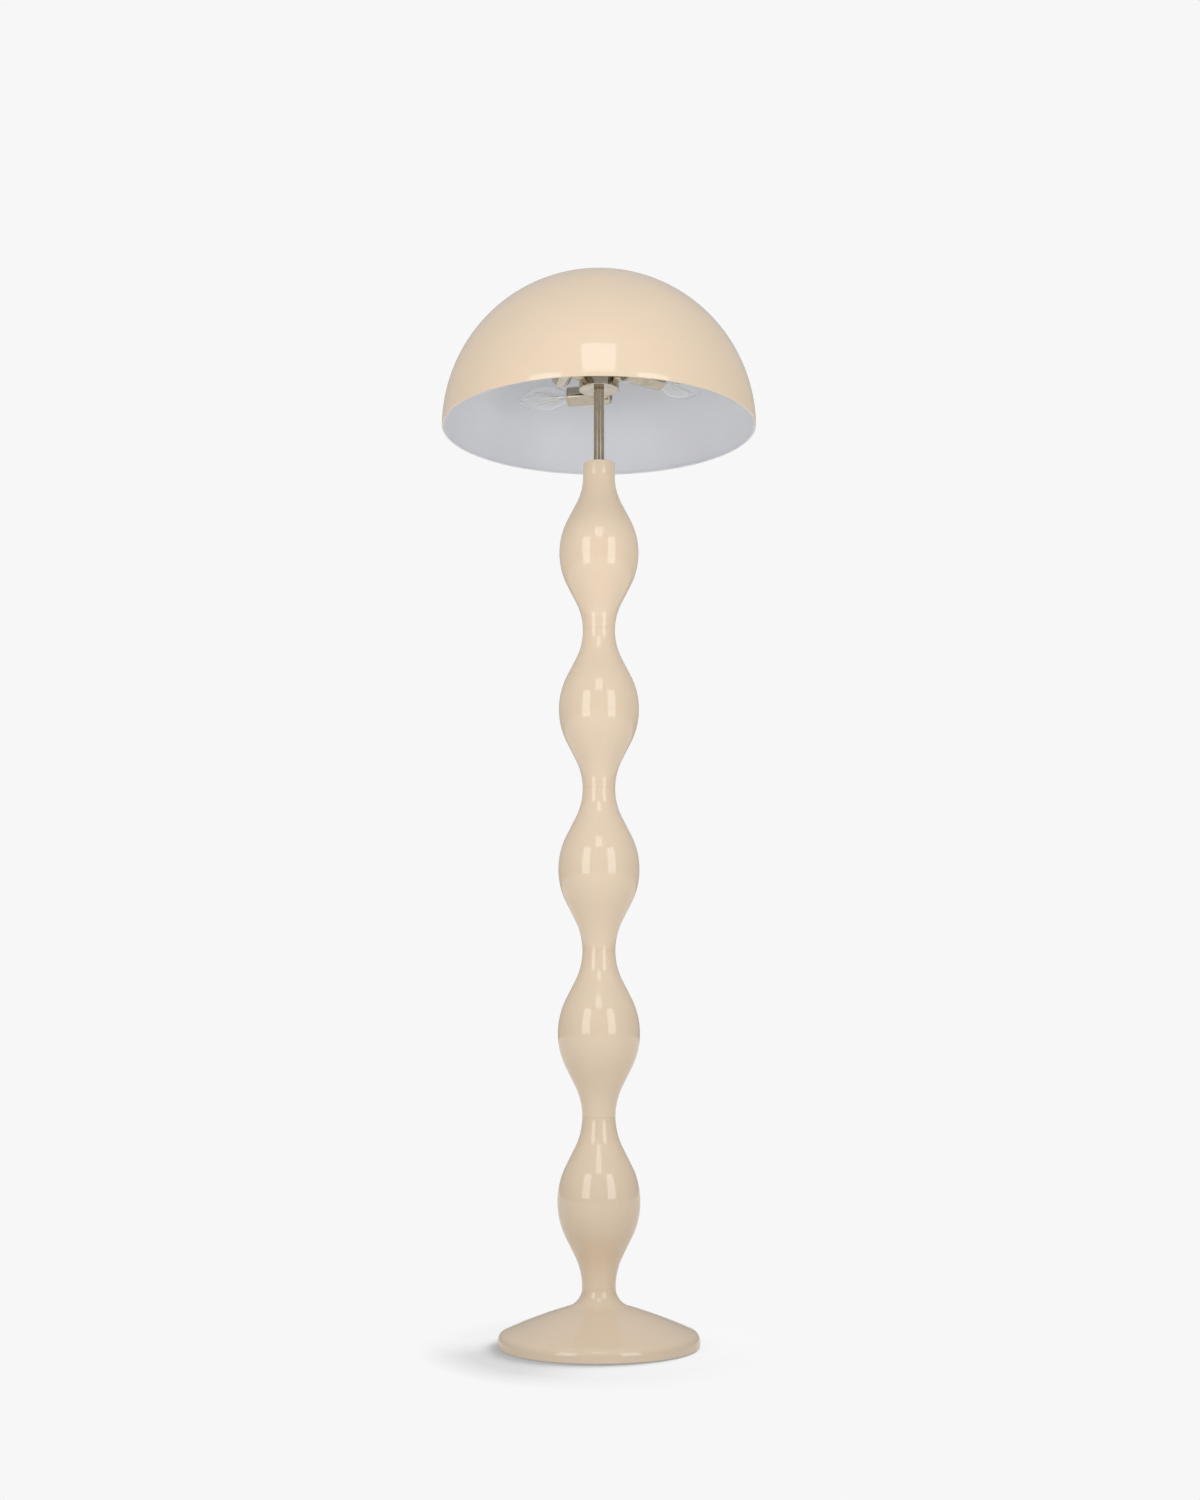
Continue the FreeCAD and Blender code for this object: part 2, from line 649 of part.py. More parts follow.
def make_arm(doc, number):
    """A turned arm: a threaded stub in the hub and a shank shaped to the sleeve it carries."""
    name = f"arm_{number + 1}"
    shank = rod_along_x(doc, name + "_shank", "Sizes.arm_radius", "Sizes.hub_radius / 2",
                        "Sizes.arm_reach")
    hub_side = doc.addObject("Part::Cylinder", name + "_hub_side")
    hub_side.setExpression("Radius", "Sizes.hub_radius")
    hub_side.setExpression("Height", "Sizes.arm_radius * 4")
    hub_side.setExpression("Placement.Base.z", "-2 * Sizes.arm_radius")
    sleeve_side = doc.addObject("Part::Cylinder", name + "_sleeve_side")
    sleeve_side.setExpression("Radius", "Sizes.sleeve_radius")
    sleeve_side.setExpression("Height", "Sizes.sleeve_length * 2")
    turn = f"Sizes.sleeve_turn_{number + 1}"
    base = (f"vector(Sizes.arm_reach - Sizes.sleeve_length * cos({turn}); "
            f"-Sizes.sleeve_length * sin({turn}); 0)")
    sleeve_side.setExpression("Placement", f"placement({base}; rotation({turn}; 90; 0))")
    stub_start = f"{nut_seat()} - Sizes.arm_nut_height - Sizes.arm_thread_end"
    stub = rod_along_x(doc, name + "_stub", "Sizes.arm_stub", stub_start,
                       "Sizes.hub_radius + Sizes.arm_stub")
    solid = joined(doc, name + "_solid", [
        cut(doc, name + "_seated", shank, joined(doc, name + "_seats", [hub_side, sleeve_side])),
        stub,
    ])
    bore = rod_along_x(doc, name + "_bore", "Sizes.arm_bore", "0", "Sizes.arm_reach")
    arm = cut(doc, name, solid, bore)
    arm.setExpression("Placement", arm_frame(number, "0"))
    return arm


def nut_seat():
    """How far from the axis the outer face of an arm's nut lies against the hub's round wall."""
    inner = "(Sizes.hub_radius - Sizes.hub_wall)"
    return f"(sqrt({inner} ^ 2 - Sizes.nut_corner ^ 2) - Sizes.insert_gap)"


def make_arm_nut(doc, number):
    """The nut that draws an arm against the hub from inside."""
    name = f"arm_nut_{number + 1}"
    piece = nut(doc, name, "Sizes.arm_stub + Sizes.insert_gap", "Sizes.arm_nut_height")
    piece.setExpression("Placement", arm_frame(
        number, f"({nut_seat()} - Sizes.arm_nut_height)", pitch="90"))
    return piece


def make_sleeve(doc, number):
    """The metal sleeve: a cup with a rounded closed end and a side hole for the arm's wires."""
    name = f"holder_sleeve_{number + 1}"
    inner = "Sizes.sleeve_radius - Sizes.sleeve_wall"
    rounding = "Sizes.sleeve_rounding"
    inner_rounding = "(Sizes.sleeve_rounding - Sizes.sleeve_wall)"
    cup = turned(doc, name + "_cup", [
        ("0", "0", STRAIGHT),
        ("0", f"Sizes.sleeve_radius - {rounding}", (rounding, "right")),
        (rounding, "Sizes.sleeve_radius", STRAIGHT),
        ("Sizes.sleeve_length", "Sizes.sleeve_radius", STRAIGHT),
        ("Sizes.sleeve_length", inner, STRAIGHT),
        (rounding, inner, (inner_rounding, "left")),
        ("Sizes.sleeve_wall", f"Sizes.sleeve_radius - {rounding}", STRAIGHT),
        ("Sizes.sleeve_wall", "0", STRAIGHT),
    ], lying=True)
    hole = doc.addObject("Part::Cylinder", name + "_hole")
    hole.setExpression("Radius", "Sizes.arm_bore")
    hole.setExpression("Height", "Sizes.sleeve_radius * 2")
    turn = f"Sizes.sleeve_turn_{number + 1}"
    base = (f"vector(Sizes.sleeve_entry - 2 * Sizes.sleeve_radius * cos({turn}); "
            f"2 * Sizes.sleeve_radius * sin({turn}); 0)")
    hole.setExpression("Placement", f"placement({base}; rotation(-{turn}; 90; 0))")
    sleeve = cut(doc, name, cup, hole)
    sleeve.setExpression("Placement", holder_frame(number))
    return sleeve


def make_holder_inside(doc, number):
    """What a sleeve holds: the insulating insert, screw shell, contact and front ring."""
    tag = number + 1
    outer = "Sizes.sleeve_radius - Sizes.sleeve_wall - Sizes.insert_gap"
    shell_inner = "Sizes.cap_radius + Sizes.shell_gap"
    shell_outer = f"{shell_inner} + Sizes.socket_shell_wall"
    insert_end = "Sizes.insert_start + Sizes.insert_length"
    pocket = "Sizes.insert_start + Sizes.insert_floor"
    insert = turned(doc, f"holder_insert_{tag}", [
        ("Sizes.insert_start", "0", STRAIGHT),
        ("Sizes.insert_start", outer, STRAIGHT),
        (insert_end, outer, STRAIGHT),
        (insert_end, shell_outer, STRAIGHT),
        (pocket, shell_outer, STRAIGHT),
        (pocket, "0", STRAIGHT),
    ], lying=True)
    shell_start = f"{pocket} + Sizes.contact_thickness"
    shell = turned(doc, f"holder_shell_{tag}", [
        (shell_start, shell_inner, STRAIGHT),
        (shell_start, shell_outer, STRAIGHT),
        (f"{shell_start} + Sizes.socket_shell_length", shell_outer, STRAIGHT),
        (f"{shell_start} + Sizes.socket_shell_length", shell_inner, STRAIGHT),
    ], lying=True)
    contact = turned(doc, f"holder_contact_{tag}", [
        (pocket, "0", STRAIGHT),
        (pocket, "Sizes.contact_radius", STRAIGHT),
        (f"{pocket} + Sizes.contact_thickness", "Sizes.contact_radius", STRAIGHT),
        (f"{pocket} + Sizes.contact_thickness", "0", STRAIGHT),
    ], lying=True)
    ring = turned(doc, f"holder_ring_{tag}", [
        (insert_end, "Sizes.ring_bore", STRAIGHT),
        (insert_end, outer, STRAIGHT),
        (HOLDER_HEAD, outer, STRAIGHT),
        (HOLDER_HEAD, "Sizes.ring_bore", STRAIGHT),
    ], lying=True)
    pieces = [insert, shell, contact, ring]
    for piece in pieces:
        piece.setExpression("Placement", holder_frame(number))
    return pieces


# --------------------------------------------------------------- bulbs


def arc_radius(run, rise):
    """The radius of an arc that starts level and falls by rise over run."""
    return f"((({run}) ^ 2 + ({rise}) ^ 2) / (2 * ({rise})))"


def make_bulb(doc, number):
    """A candle bulb: its screw cap, its blown glass and the filaments on their stem."""
    tag = number + 1
    cap_inner = "Sizes.cap_radius - Sizes.cap_wall"
    cap = turned(doc, f"bulb_cap_{tag}", [
        ("0", "0", STRAIGHT),
        ("0", "Sizes.cap_button", STRAIGHT),
        ("Sizes.cap_shoulder", "Sizes.cap_radius", STRAIGHT),
        ("Sizes.cap_length", "Sizes.cap_radius", STRAIGHT),
        ("Sizes.cap_length", cap_inner, STRAIGHT),
        ("Sizes.cap_shoulder + Sizes.cap_wall", cap_inner, STRAIGHT),
        ("Sizes.cap_shoulder + Sizes.cap_wall", "0", STRAIGHT),
    ], lying=True)
    foot = "Sizes.cap_length - Sizes.glass_tuck"
    rear = arc_radius("Sizes.glass_widest - Sizes.glass_neck_end",
                      "Sizes.glass_radius - Sizes.glass_neck_radius")
    front = arc_radius("Sizes.bulb_length - Sizes.glass_widest",
                       "Sizes.glass_radius - Sizes.glass_tip_radius")
    neck_in = "Sizes.glass_neck_radius - Sizes.glass_wall"
    front_in = arc_radius("Sizes.bulb_length - 2 * Sizes.glass_wall - Sizes.glass_widest",
                          "Sizes.glass_radius - Sizes.glass_wall - Sizes.glass_tip_radius / 2")
    glass = turned(doc, f"bulb_glass_{tag}", [
        (foot, neck_in, STRAIGHT),
        (foot, "Sizes.glass_neck_radius", STRAIGHT),
        ("Sizes.glass_neck_end", "Sizes.glass_neck_radius", (rear, "right")),
        ("Sizes.glass_widest", "Sizes.glass_radius", (front, "right")),
        ("Sizes.bulb_length", "Sizes.glass_tip_radius", STRAIGHT),
        ("Sizes.bulb_length", "0", STRAIGHT),
        ("Sizes.bulb_length - 2 * Sizes.glass_wall", "0", STRAIGHT),
        ("Sizes.bulb_length - 2 * Sizes.glass_wall", "Sizes.glass_tip_radius / 2", (front_in, "left")),
        ("Sizes.glass_widest", "Sizes.glass_radius - Sizes.glass_wall", (rear, "left")),
        ("Sizes.glass_neck_end", neck_in, STRAIGHT),
    ], lying=True)
    pieces = [cap, glass, make_filaments(doc, tag)]
    for piece in pieces:
        piece.setExpression("Placement", holder_frame(number, BULB_START))
    return pieces


def make_filaments(doc, tag):
    """A glass stem with four leaning filament sticks on it."""
    stem = rod_along_x(doc, f"bulb_stem_{tag}", "Sizes.stem_radius",
                       "Sizes.cap_shoulder + Sizes.cap_wall", "Sizes.stem_end")
    sticks = [stem]
    for number in range(FILAMENT_COUNT):
        spin = f"(Sizes.filament_azimuth + {number * FULL_TURN / FILAMENT_COUNT})"
        stick = doc.addObject("Part::Cylinder", f"bulb_stick_{tag}_{number + 1}")
        stick.setExpression("Radius", "Sizes.filament_radius")
        stick.setExpression("Height", "Sizes.filament_length")
        base = (f"vector(Sizes.filament_foot; Sizes.filament_offset * sin({spin}); "
                f"Sizes.filament_offset * cos({spin}))")
        lean = f"rotation(vector(1; 0; 0); -{spin}) * rotation(vector(0; 1; 0); 90 - Sizes.filament_lean)"
        stick.setExpression("Placement", f"placement({base}; {lean})")
        sticks.append(stick)
    return joined(doc, f"bulb_filament_{tag}", sticks)


# --------------------------------------------------------------- shade


def make_shade(doc):
    """The half-round shade with a folded hem, its seat on the tube and the finial."""
    seat_in = f"{SHADE_SEAT} - Sizes.shade_wall"
    hole = "Sizes.tube_radius + Sizes.tube_gap"
    inner = "(Sizes.shade_radius - Sizes.shade_wall)"
    hem_inner = "Sizes.shade_radius - Sizes.hem_wall"
    hem_top = f"{SHADE_RIM} + Sizes.hem_height"
    flat_in = f"sqrt({inner} ^ 2 - ({SHADE_RISE} - Sizes.shade_wall) ^ 2)"
    shade = turned(doc, "shade", [
        ("Sizes.shade_radius", SHADE_RIM, ("Sizes.shade_radius", "left")),
        ("Sizes.shade_flat", SHADE_SEAT, STRAIGHT),
        (hole, SHADE_SEAT, STRAIGHT),
        (hole, seat_in, STRAIGHT),
        (flat_in, seat_in, (inner, "right")),
        (f"sqrt({inner} ^ 2 - Sizes.hem_height ^ 2)", hem_top, STRAIGHT),
        (hem_inner, hem_top, STRAIGHT),
        (hem_inner, SHADE_RIM, STRAIGHT),
    ])
    washer_low = f"{seat_in} - Sizes.washer_thickness"
    washer = turned(doc, "shade_washer", ring_steps(
        hole, "Sizes.washer_radius", washer_low, seat_in))
    lock_nut = place(nut(doc, "shade_nut", hole, "Sizes.nut_height"),
                     z=f"{washer_low} - Sizes.nut_height")
    depth = f"{SHADE_SEAT} + Sizes.finial_thread_depth"
    edge_top = f"{SHADE_SEAT} + Sizes.finial_edge"
    dome = arc_radius("Sizes.finial_radius", "Sizes.finial_height - Sizes.finial_edge")
    thread = "Sizes.tube_radius + Sizes.finial_gap"
    finial = turned(doc, "finial", [
        (thread, SHADE_SEAT, STRAIGHT),
        ("Sizes.finial_radius", SHADE_SEAT, STRAIGHT),
        ("Sizes.finial_radius", edge_top, (dome, "left")),
        ("0", f"{SHADE_SEAT} + Sizes.finial_height", STRAIGHT),
        ("0", depth, STRAIGHT),
        (thread, depth, STRAIGHT),
    ])
    return [shade, washer, lock_nut, finial]


# --------------------------------------------------------------- build


def check(doc, pieces):
    """Stop if any object failed or any piece has no valid shape."""
    for item in doc.Objects:
        if "Invalid" in item.State or "Error" in item.State:
            raise RuntimeError(f"{item.Label} failed: {item.State}")
    for piece in pieces:
        if piece.Shape.isNull() or not piece.Shape.isValid():
            raise RuntimeError(f"{piece.Label} has no valid shape")


def main():
    doc = FreeCAD.newDocument("floor_lamp")
    make_sheet(doc)
    pieces = make_base(doc) + make_column(doc) + make_hub(doc)
    for number in range(ARM_COUNT):
        pieces.append(make_arm(doc, number))
        pieces.append(make_arm_nut(doc, number))
        pieces.append(make_sleeve(doc, number))
        pieces += make_holder_inside(doc, number)
        pieces += make_bulb(doc, number)
    pieces += make_shade(doc)
    doc.recompute()
    check(doc, pieces)
    os.makedirs("parts", exist_ok=True)
    for piece in pieces:
        piece.Shape.exportStep(f"parts/{piece.Label}.step")
    print(len(pieces), "pieces written")


main()
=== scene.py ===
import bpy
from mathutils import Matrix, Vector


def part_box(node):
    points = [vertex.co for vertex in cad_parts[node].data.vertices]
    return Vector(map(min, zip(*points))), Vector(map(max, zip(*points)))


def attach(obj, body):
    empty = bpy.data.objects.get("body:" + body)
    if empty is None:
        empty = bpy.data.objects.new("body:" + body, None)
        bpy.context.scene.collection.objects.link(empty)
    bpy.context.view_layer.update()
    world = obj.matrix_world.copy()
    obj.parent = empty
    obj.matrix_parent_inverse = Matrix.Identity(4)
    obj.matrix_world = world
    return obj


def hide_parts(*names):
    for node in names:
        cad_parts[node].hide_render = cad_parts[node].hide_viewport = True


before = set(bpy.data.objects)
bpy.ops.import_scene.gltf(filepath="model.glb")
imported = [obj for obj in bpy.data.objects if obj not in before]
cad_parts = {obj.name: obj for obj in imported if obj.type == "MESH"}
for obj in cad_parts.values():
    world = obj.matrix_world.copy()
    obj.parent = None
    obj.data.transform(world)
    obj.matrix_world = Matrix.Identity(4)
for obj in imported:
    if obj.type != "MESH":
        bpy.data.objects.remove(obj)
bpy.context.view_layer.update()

import math

import bmesh
import bpy
from mathutils import Matrix, Vector

# A floor lamp: half-round shade, turned column of five bobbins and a round weighted base.
# Lengths are in metres. An outline is a list of (radius, height) points.
# Sizes come from the frame where it has them. The others stand beside the piece that uses them.

MM = 0.001
ARMS = (1, 2, 3)
BOBBINS = (1, 2, 3, 4, 5)


# ------------------------------------------------------------ materials

# Colours are linear RGB
CREAM = (0.825, 0.672, 0.510)
SHADE_WHITE = (0.80, 0.812, 0.845)
BRASS_LIGHT = (0.56, 0.50, 0.40)
BRASS_DARK = (0.44, 0.38, 0.29)
PAGE_WHITE = (0.930, 0.930, 0.930)

# Uniform values of the Principled shader, by the name of their socket
PLAIN = {}
METAL = {"Metallic": 1.0}
RAW_CASTING = {"Metallic": 0.6}
LACQUER = {
    "Specular IOR Level": 0.0, "Coat Weight": 0.8, "Coat Roughness": 0.06, "Coat IOR": 1.6,
    "Coat Tint": (0.99, 0.965, 0.93, 1),
}
BRUSHED_ROUND = {"Anisotropic": 1.0, "Anisotropic Rotation": 0.25}
BLOWN_GLASS = {
    "Transmission Weight": 1.0, "IOR": 1.25, "Coat Weight": 1.0, "Coat Roughness": 0.02,
}

DRIFT_SCALE = 9.0
SMEAR_SCALE = 45.0
UNEVEN_GLOSS = 0.15
PATINA_SCALE = 60.0
BRUSHING_SCALE = 900.0
BRUSHING_HEIGHT = 0.001 * MM
BRUSHED_GLOSS = (0.8, 1.25)
GLASS_CLEAR = (1.0, 1.0, 1.0)
GLASS_TINT = (0.97, 0.98, 0.98)
GLASS_HAZE = 0.03
GLASS_WAVE_SCALE = 45.0
GLASS_WAVE_HEIGHT = 0.03 * MM


def new_material(name):
    """An empty node material with its output."""
    material = bpy.data.materials.new(name)
    material.use_nodes = True
    nodes = material.node_tree.nodes
    nodes.clear()
    output = nodes.new("ShaderNodeOutputMaterial")
    return material, nodes, material.node_tree.links, output


def object_point(nodes):
    """The point of the surface in the object's own space."""
    return nodes.new("ShaderNodeTexCoord").outputs["Object"]


def noise(nodes, links, point, scale, detail=3.0):
    """A noise value on the surface."""
    texture = nodes.new("ShaderNodeTexNoise")
    texture.inputs["Scale"].default_value = scale
    texture.inputs["Detail"].default_value = detail
    links.new(point, texture.inputs["Vector"])
    return texture.outputs["Fac"]


def spread(nodes, links, value, low, high, start=0.3, end=0.7):
    """Map a value from start..end to low..high."""
    ramp = nodes.new("ShaderNodeMapRange")
    ramp.inputs["From Min"].default_value = start
    ramp.inputs["From Max"].default_value = end
    ramp.inputs["To Min"].default_value = low
    ramp.inputs["To Max"].default_value = high
    links.new(value, ramp.inputs["Value"])
    return ramp.outputs["Result"]


def blend_colours(nodes, links, value, first, second):
    """A colour between two, by a value from 0 to 1."""
    mix = nodes.new("ShaderNodeMix")
    mix.data_type = "RGBA"
    mix.inputs["A"].default_value = (*first, 1)
    mix.inputs["B"].default_value = (*second, 1)
    links.new(value, mix.inputs["Factor"])
    return mix.outputs["Result"]


def bump(nodes, links, value, height):
    """A bump of the given height."""
    node = nodes.new("ShaderNodeBump")
    node.inputs["Strength"].default_value = 1.0
    node.inputs["Distance"].default_value = height
    links.new(value, node.inputs["Height"])
    return node.outputs["Normal"]


def new_shader(nodes, links, output, settings):
    """A Principled shader with its uniform values, joined to the output."""
    shader = nodes.new("ShaderNodeBsdfPrincipled")
    for socket, value in settings.items():
        shader.inputs[socket].default_value = value
    links.new(shader.outputs["BSDF"], output.inputs["Surface"])
    return shader


def surface(name, colour, shade_off, rough, peel_scale, peel_height, settings=PLAIN):
    """A finish with slow colour variation, uneven gloss and a fine surface texture."""
    material, nodes, links, output = new_material(name)
    shader = new_shader(nodes, links, output, settings)
    point = object_point(nodes)
    drift = noise(nodes, links, point, DRIFT_SCALE)
    dark = tuple(channel * shade_off for channel in colour)
    tint = blend_colours(nodes, links, spread(nodes, links, drift, 0, 1), dark, colour)
    links.new(tint, shader.inputs["Base Color"])
    smear = noise(nodes, links, point, SMEAR_SCALE, detail=4.0)
    gloss = spread(nodes, links, smear, rough * (1 - UNEVEN_GLOSS), rough * (1 + UNEVEN_GLOSS))
    links.new(gloss, shader.inputs["Roughness"])
    peel = noise(nodes, links, point, peel_scale, detail=2.0)
    links.new(bump(nodes, links, peel, peel_height), shader.inputs["Normal"])
    return material


def turned_brass(name, light, dark, rough, brushed_round=False):
    """Antique brass with fine brushing and a slightly darker patina in places."""
    material, nodes, links, output = new_material(name)
    shader = new_shader(nodes, links, output, METAL)
    point = object_point(nodes)
    patina = noise(nodes, links, point, PATINA_SCALE, detail=5.0)
    tint = blend_colours(nodes, links, spread(nodes, links, patina, 0, 1), light, dark)
    links.new(tint, shader.inputs["Base Color"])
    brushing = noise(nodes, links, point, BRUSHING_SCALE)
    least, most = [rough * share for share in BRUSHED_GLOSS]
    links.new(spread(nodes, links, brushing, least, most), shader.inputs["Roughness"])
    links.new(bump(nodes, links, brushing, BRUSHING_HEIGHT), shader.inputs["Normal"])
    if brushed_round:
        for socket, value in BRUSHED_ROUND.items():
            shader.inputs[socket].default_value = value
        round_axis = nodes.new("ShaderNodeTangent")
        round_axis.direction_type = "RADIAL"
        round_axis.axis = "Z"
        links.new(round_axis.outputs[0], shader.inputs["Tangent"])
    return material


def clear_glass(name):
    """Thin clear glass with the faint waves of blown glass."""
    material, nodes, links, output = new_material(name)
    shader = new_shader(nodes, links, output, BLOWN_GLASS)
    wave = noise(nodes, links, object_point(nodes), GLASS_WAVE_SCALE)
    tint = blend_colours(nodes, links, wave, GLASS_TINT, GLASS_CLEAR)
    links.new(tint, shader.inputs["Base Color"])
    links.new(bump(nodes, links, wave, GLASS_WAVE_HEIGHT), shader.inputs["Normal"])
    links.new(spread(nodes, links, wave, 0.0, GLASS_HAZE), shader.inputs["Roughness"])
    return material


def make_materials():
    """Every finish of the lamp, by name.

    A surface has its colour, how dark it drifts, roughness, and the scale and height of its grain.
    """
    return {
        "cream": surface("cream_lacquer", CREAM, 0.975, 0.45, 700.0, 0.004 * MM, LACQUER),
        "inside": surface("satin_white", SHADE_WHITE, 0.97, 0.42, 900.0, 0.01 * MM),
        "brass": turned_brass("antique_brass", BRASS_LIGHT, BRASS_DARK, 0.06),
        "rod_brass": turned_brass("brushed_brass", (0.50, 0.44, 0.34), (0.42, 0.36, 0.27), 0.3,
                                  brushed_round=True),
        # Painted shade: a darker copy of the polished brass, laid in the sleeves' dished ends
        "painted_shade_brass": turned_brass("painted_shade_brass", (0.20, 0.16, 0.11), (0.13, 0.10, 0.07), 0.25),
        "plain_brass": turned_brass("plain_brass", (0.75, 0.60, 0.36), (0.5, 0.38, 0.2), 0.3),
        "white": surface("white_plastic", (0.82, 0.81, 0.78), 0.96, 0.3, 900.0, 0.01 * MM),
        "zinc": surface("zinc_plate", (0.62, 0.62, 0.60), 0.8, 0.32, 1500.0, 0.02 * MM, METAL),
        "iron": surface("cast_iron", (0.10, 0.10, 0.10), 0.6, 0.7, 400.0, 0.3 * MM, RAW_CASTING),
        "black": surface("black_paint", (0.03, 0.03, 0.03), 0.7, 0.45, 800.0, 0.03 * MM),
        "felt": surface("black_felt", (0.035, 0.035, 0.037), 0.6, 0.95, 1400.0, 0.4 * MM),
        "rubber": surface("black_rubber", (0.025, 0.025, 0.026), 0.7, 0.6, 1200.0, 0.04 * MM),
        "cap": surface("bulb_cap", (0.75, 0.75, 0.74), 0.85, 0.22, 1500.0, 0.01 * MM, METAL),
        "glass": clear_glass("bulb_glass"),
        "filament": surface("filament_coat", (0.90, 0.88, 0.80), 0.95, 0.45, 2500.0, 0.05 * MM),
        "wire": surface("filament_wire", (0.55, 0.53, 0.50), 0.8, 0.3, 2500.0, 0.01 * MM, METAL),
    }


# ----------------------------------------------------------------- mesh

ON_AXIS = 1e-7


def arc_points(start, end, radius, side, steps):
    """Points on an arc from start to end, without start. The centre is on the given side."""
    start = Vector(start)
    end = Vector(end)
    chord = end - start
    across = Vector((-chord.y, chord.x)).normalized()
    rise = math.sqrt(max(radius ** 2 - (chord.length / 2) ** 2, 0.0))
    centre = (start + end) / 2 + across * (rise if side == "left" else -rise)
    first = math.atan2(start.y - centre.y, start.x - centre.x)
    last = math.atan2(end.y - centre.y, end.x - centre.x)
    if side == "left" and last < first:
        last += 2 * math.pi
    if side == "right" and last > first:
        last -= 2 * math.pi
    turns = [first + (last - first) * step / steps for step in range(1, steps + 1)]
    return [(centre.x + radius * math.cos(turn), centre.y + radius * math.sin(turn))
            for turn in turns]


def level_arc(start, end, steps):
    """Points on an arc that is parallel to the axis at the wider of its two ends."""
    run = abs(end[1] - start[1])
    rise = abs(end[0] - start[0])
    radius = (run ** 2 + rise ** 2) / (2 * rise)
    return arc_points(start, end, radius, "left", steps)


def line_points(start, end, steps):
    """Evenly spaced points on a line, without start."""
    return [(start[0] + (end[0] - start[0]) * step / steps,
             start[1] + (end[1] - start[1]) * step / steps) for step in range(1, steps + 1)]


def groove(radius, top, depth, corners):
    """A groove round a cylinder. Its four corners are given by how far they lie below the top."""
    start, floor_start, floor_end, end = [top - corner for corner in corners]
    return [(radius, start), (radius - depth, floor_start), (radius - depth, floor_end),
            (radius, end)]


def in_mm(points):
    """Points that are written in millimetres."""
    return [(radius * MM, height * MM) for radius, height in points]


def add_object(name, verts, faces, slots, face_slots, sharp_degrees):
    """A mesh object with its materials, smooth but for its sharp edges."""
    mesh = bpy.data.meshes.new(name)
    mesh.from_pydata([tuple(point) for point in verts], [], faces)
    for material in slots:
        mesh.materials.append(material)
    for polygon, slot in zip(mesh.polygons, face_slots):
        polygon.material_index = slot
    mesh.validate()
    mesh.update()
    mesh.shade_smooth()
    mesh.set_sharp_from_angle(angle=math.radians(sharp_degrees))
    piece = bpy.data.objects.new(name, mesh)
    bpy.context.scene.collection.objects.link(piece)
    return piece


def lathe(name, outline, materials, place=None, around=96, slot_of=None, sharp=28.0, closed=True):
    """Spin an outline about Z, then place it.

    A closed outline ends where it starts. An open one starts and ends on the axis.
    A point on the axis becomes one vertex. slot_of gives the material of each outline edge.
    """
    place = place or Matrix.Identity(4)
    rings = []
    verts = []
    for radius, height in outline:
        if radius < ON_AXIS:
            rings.append([len(verts)])
            verts.append(place @ Vector((0, 0, height)))
            continue
        rings.append(list(range(len(verts), len(verts) + around)))
        for step in range(around):
            turn = 2 * math.pi * step / around
            verts.append(place @ Vector((radius * math.cos(turn), radius * math.sin(turn), height)))
    faces = []
    face_slots = []
    count = len(rings) if closed else len(rings) - 1
    for edge in range(count):
        low = rings[edge]
        high = rings[(edge + 1) % len(rings)]
        slot = slot_of(edge) if slot_of else 0
        if len(low) == 1 and len(high) == 1:
            continue
        for step in range(around):
            after = (step + 1) % around
            if len(low) == 1:
                face = (low[0], high[after], high[step])
            elif len(high) == 1:
                face = (low[step], low[after], high[0])
            else:
                face = (low[step], low[after], high[after], high[step])
            faces.append(face)
            face_slots.append(slot)
    return add_object(name, verts, faces, materials, face_slots, sharp)


def dress(piece, body, nodes):
    """Let a piece ride on its body in place of the CAD nodes it stands for."""
    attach(piece, body)
    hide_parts(*nodes)


def half_width(node):
    """Half of a node's width along X."""
    low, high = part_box(node)
    return (high[0] - low[0]) / 2


# --------------------------------------------------------------- column

BEAD_RADIUS = half_width("bobbin_1")
NECK_RADIUS = half_width("column_collar")
ROD_RADIUS = half_width("rod_sleeve")
COLUMN_BORE = 5.5 * MM
SPIGOT_RADIUS = 12.0 * MM
SPIGOT_LENGTH = 5.0 * MM
BOBBIN_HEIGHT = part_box("bobbin_2")[0][2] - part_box("bobbin_1")[0][2]
FLANK_FULLNESS = 0.627
BEAD_CURVE_PART = 0.534
SEAM_SOFTENING = 0.25 * MM
COLLAR_ROUNDING = 1.6 * MM
COLLAR_SHORTER = 5.0 * MM
ROD_SEAT_DEPTH = 3.0 * MM
ROD_SEAT_PLAY = 0.15 * MM
ROD_SEAT_CHAMFER_WIDTH = 0.25 * MM
ROD_SEAT_CHAMFER_DEPTH = 0.3 * MM


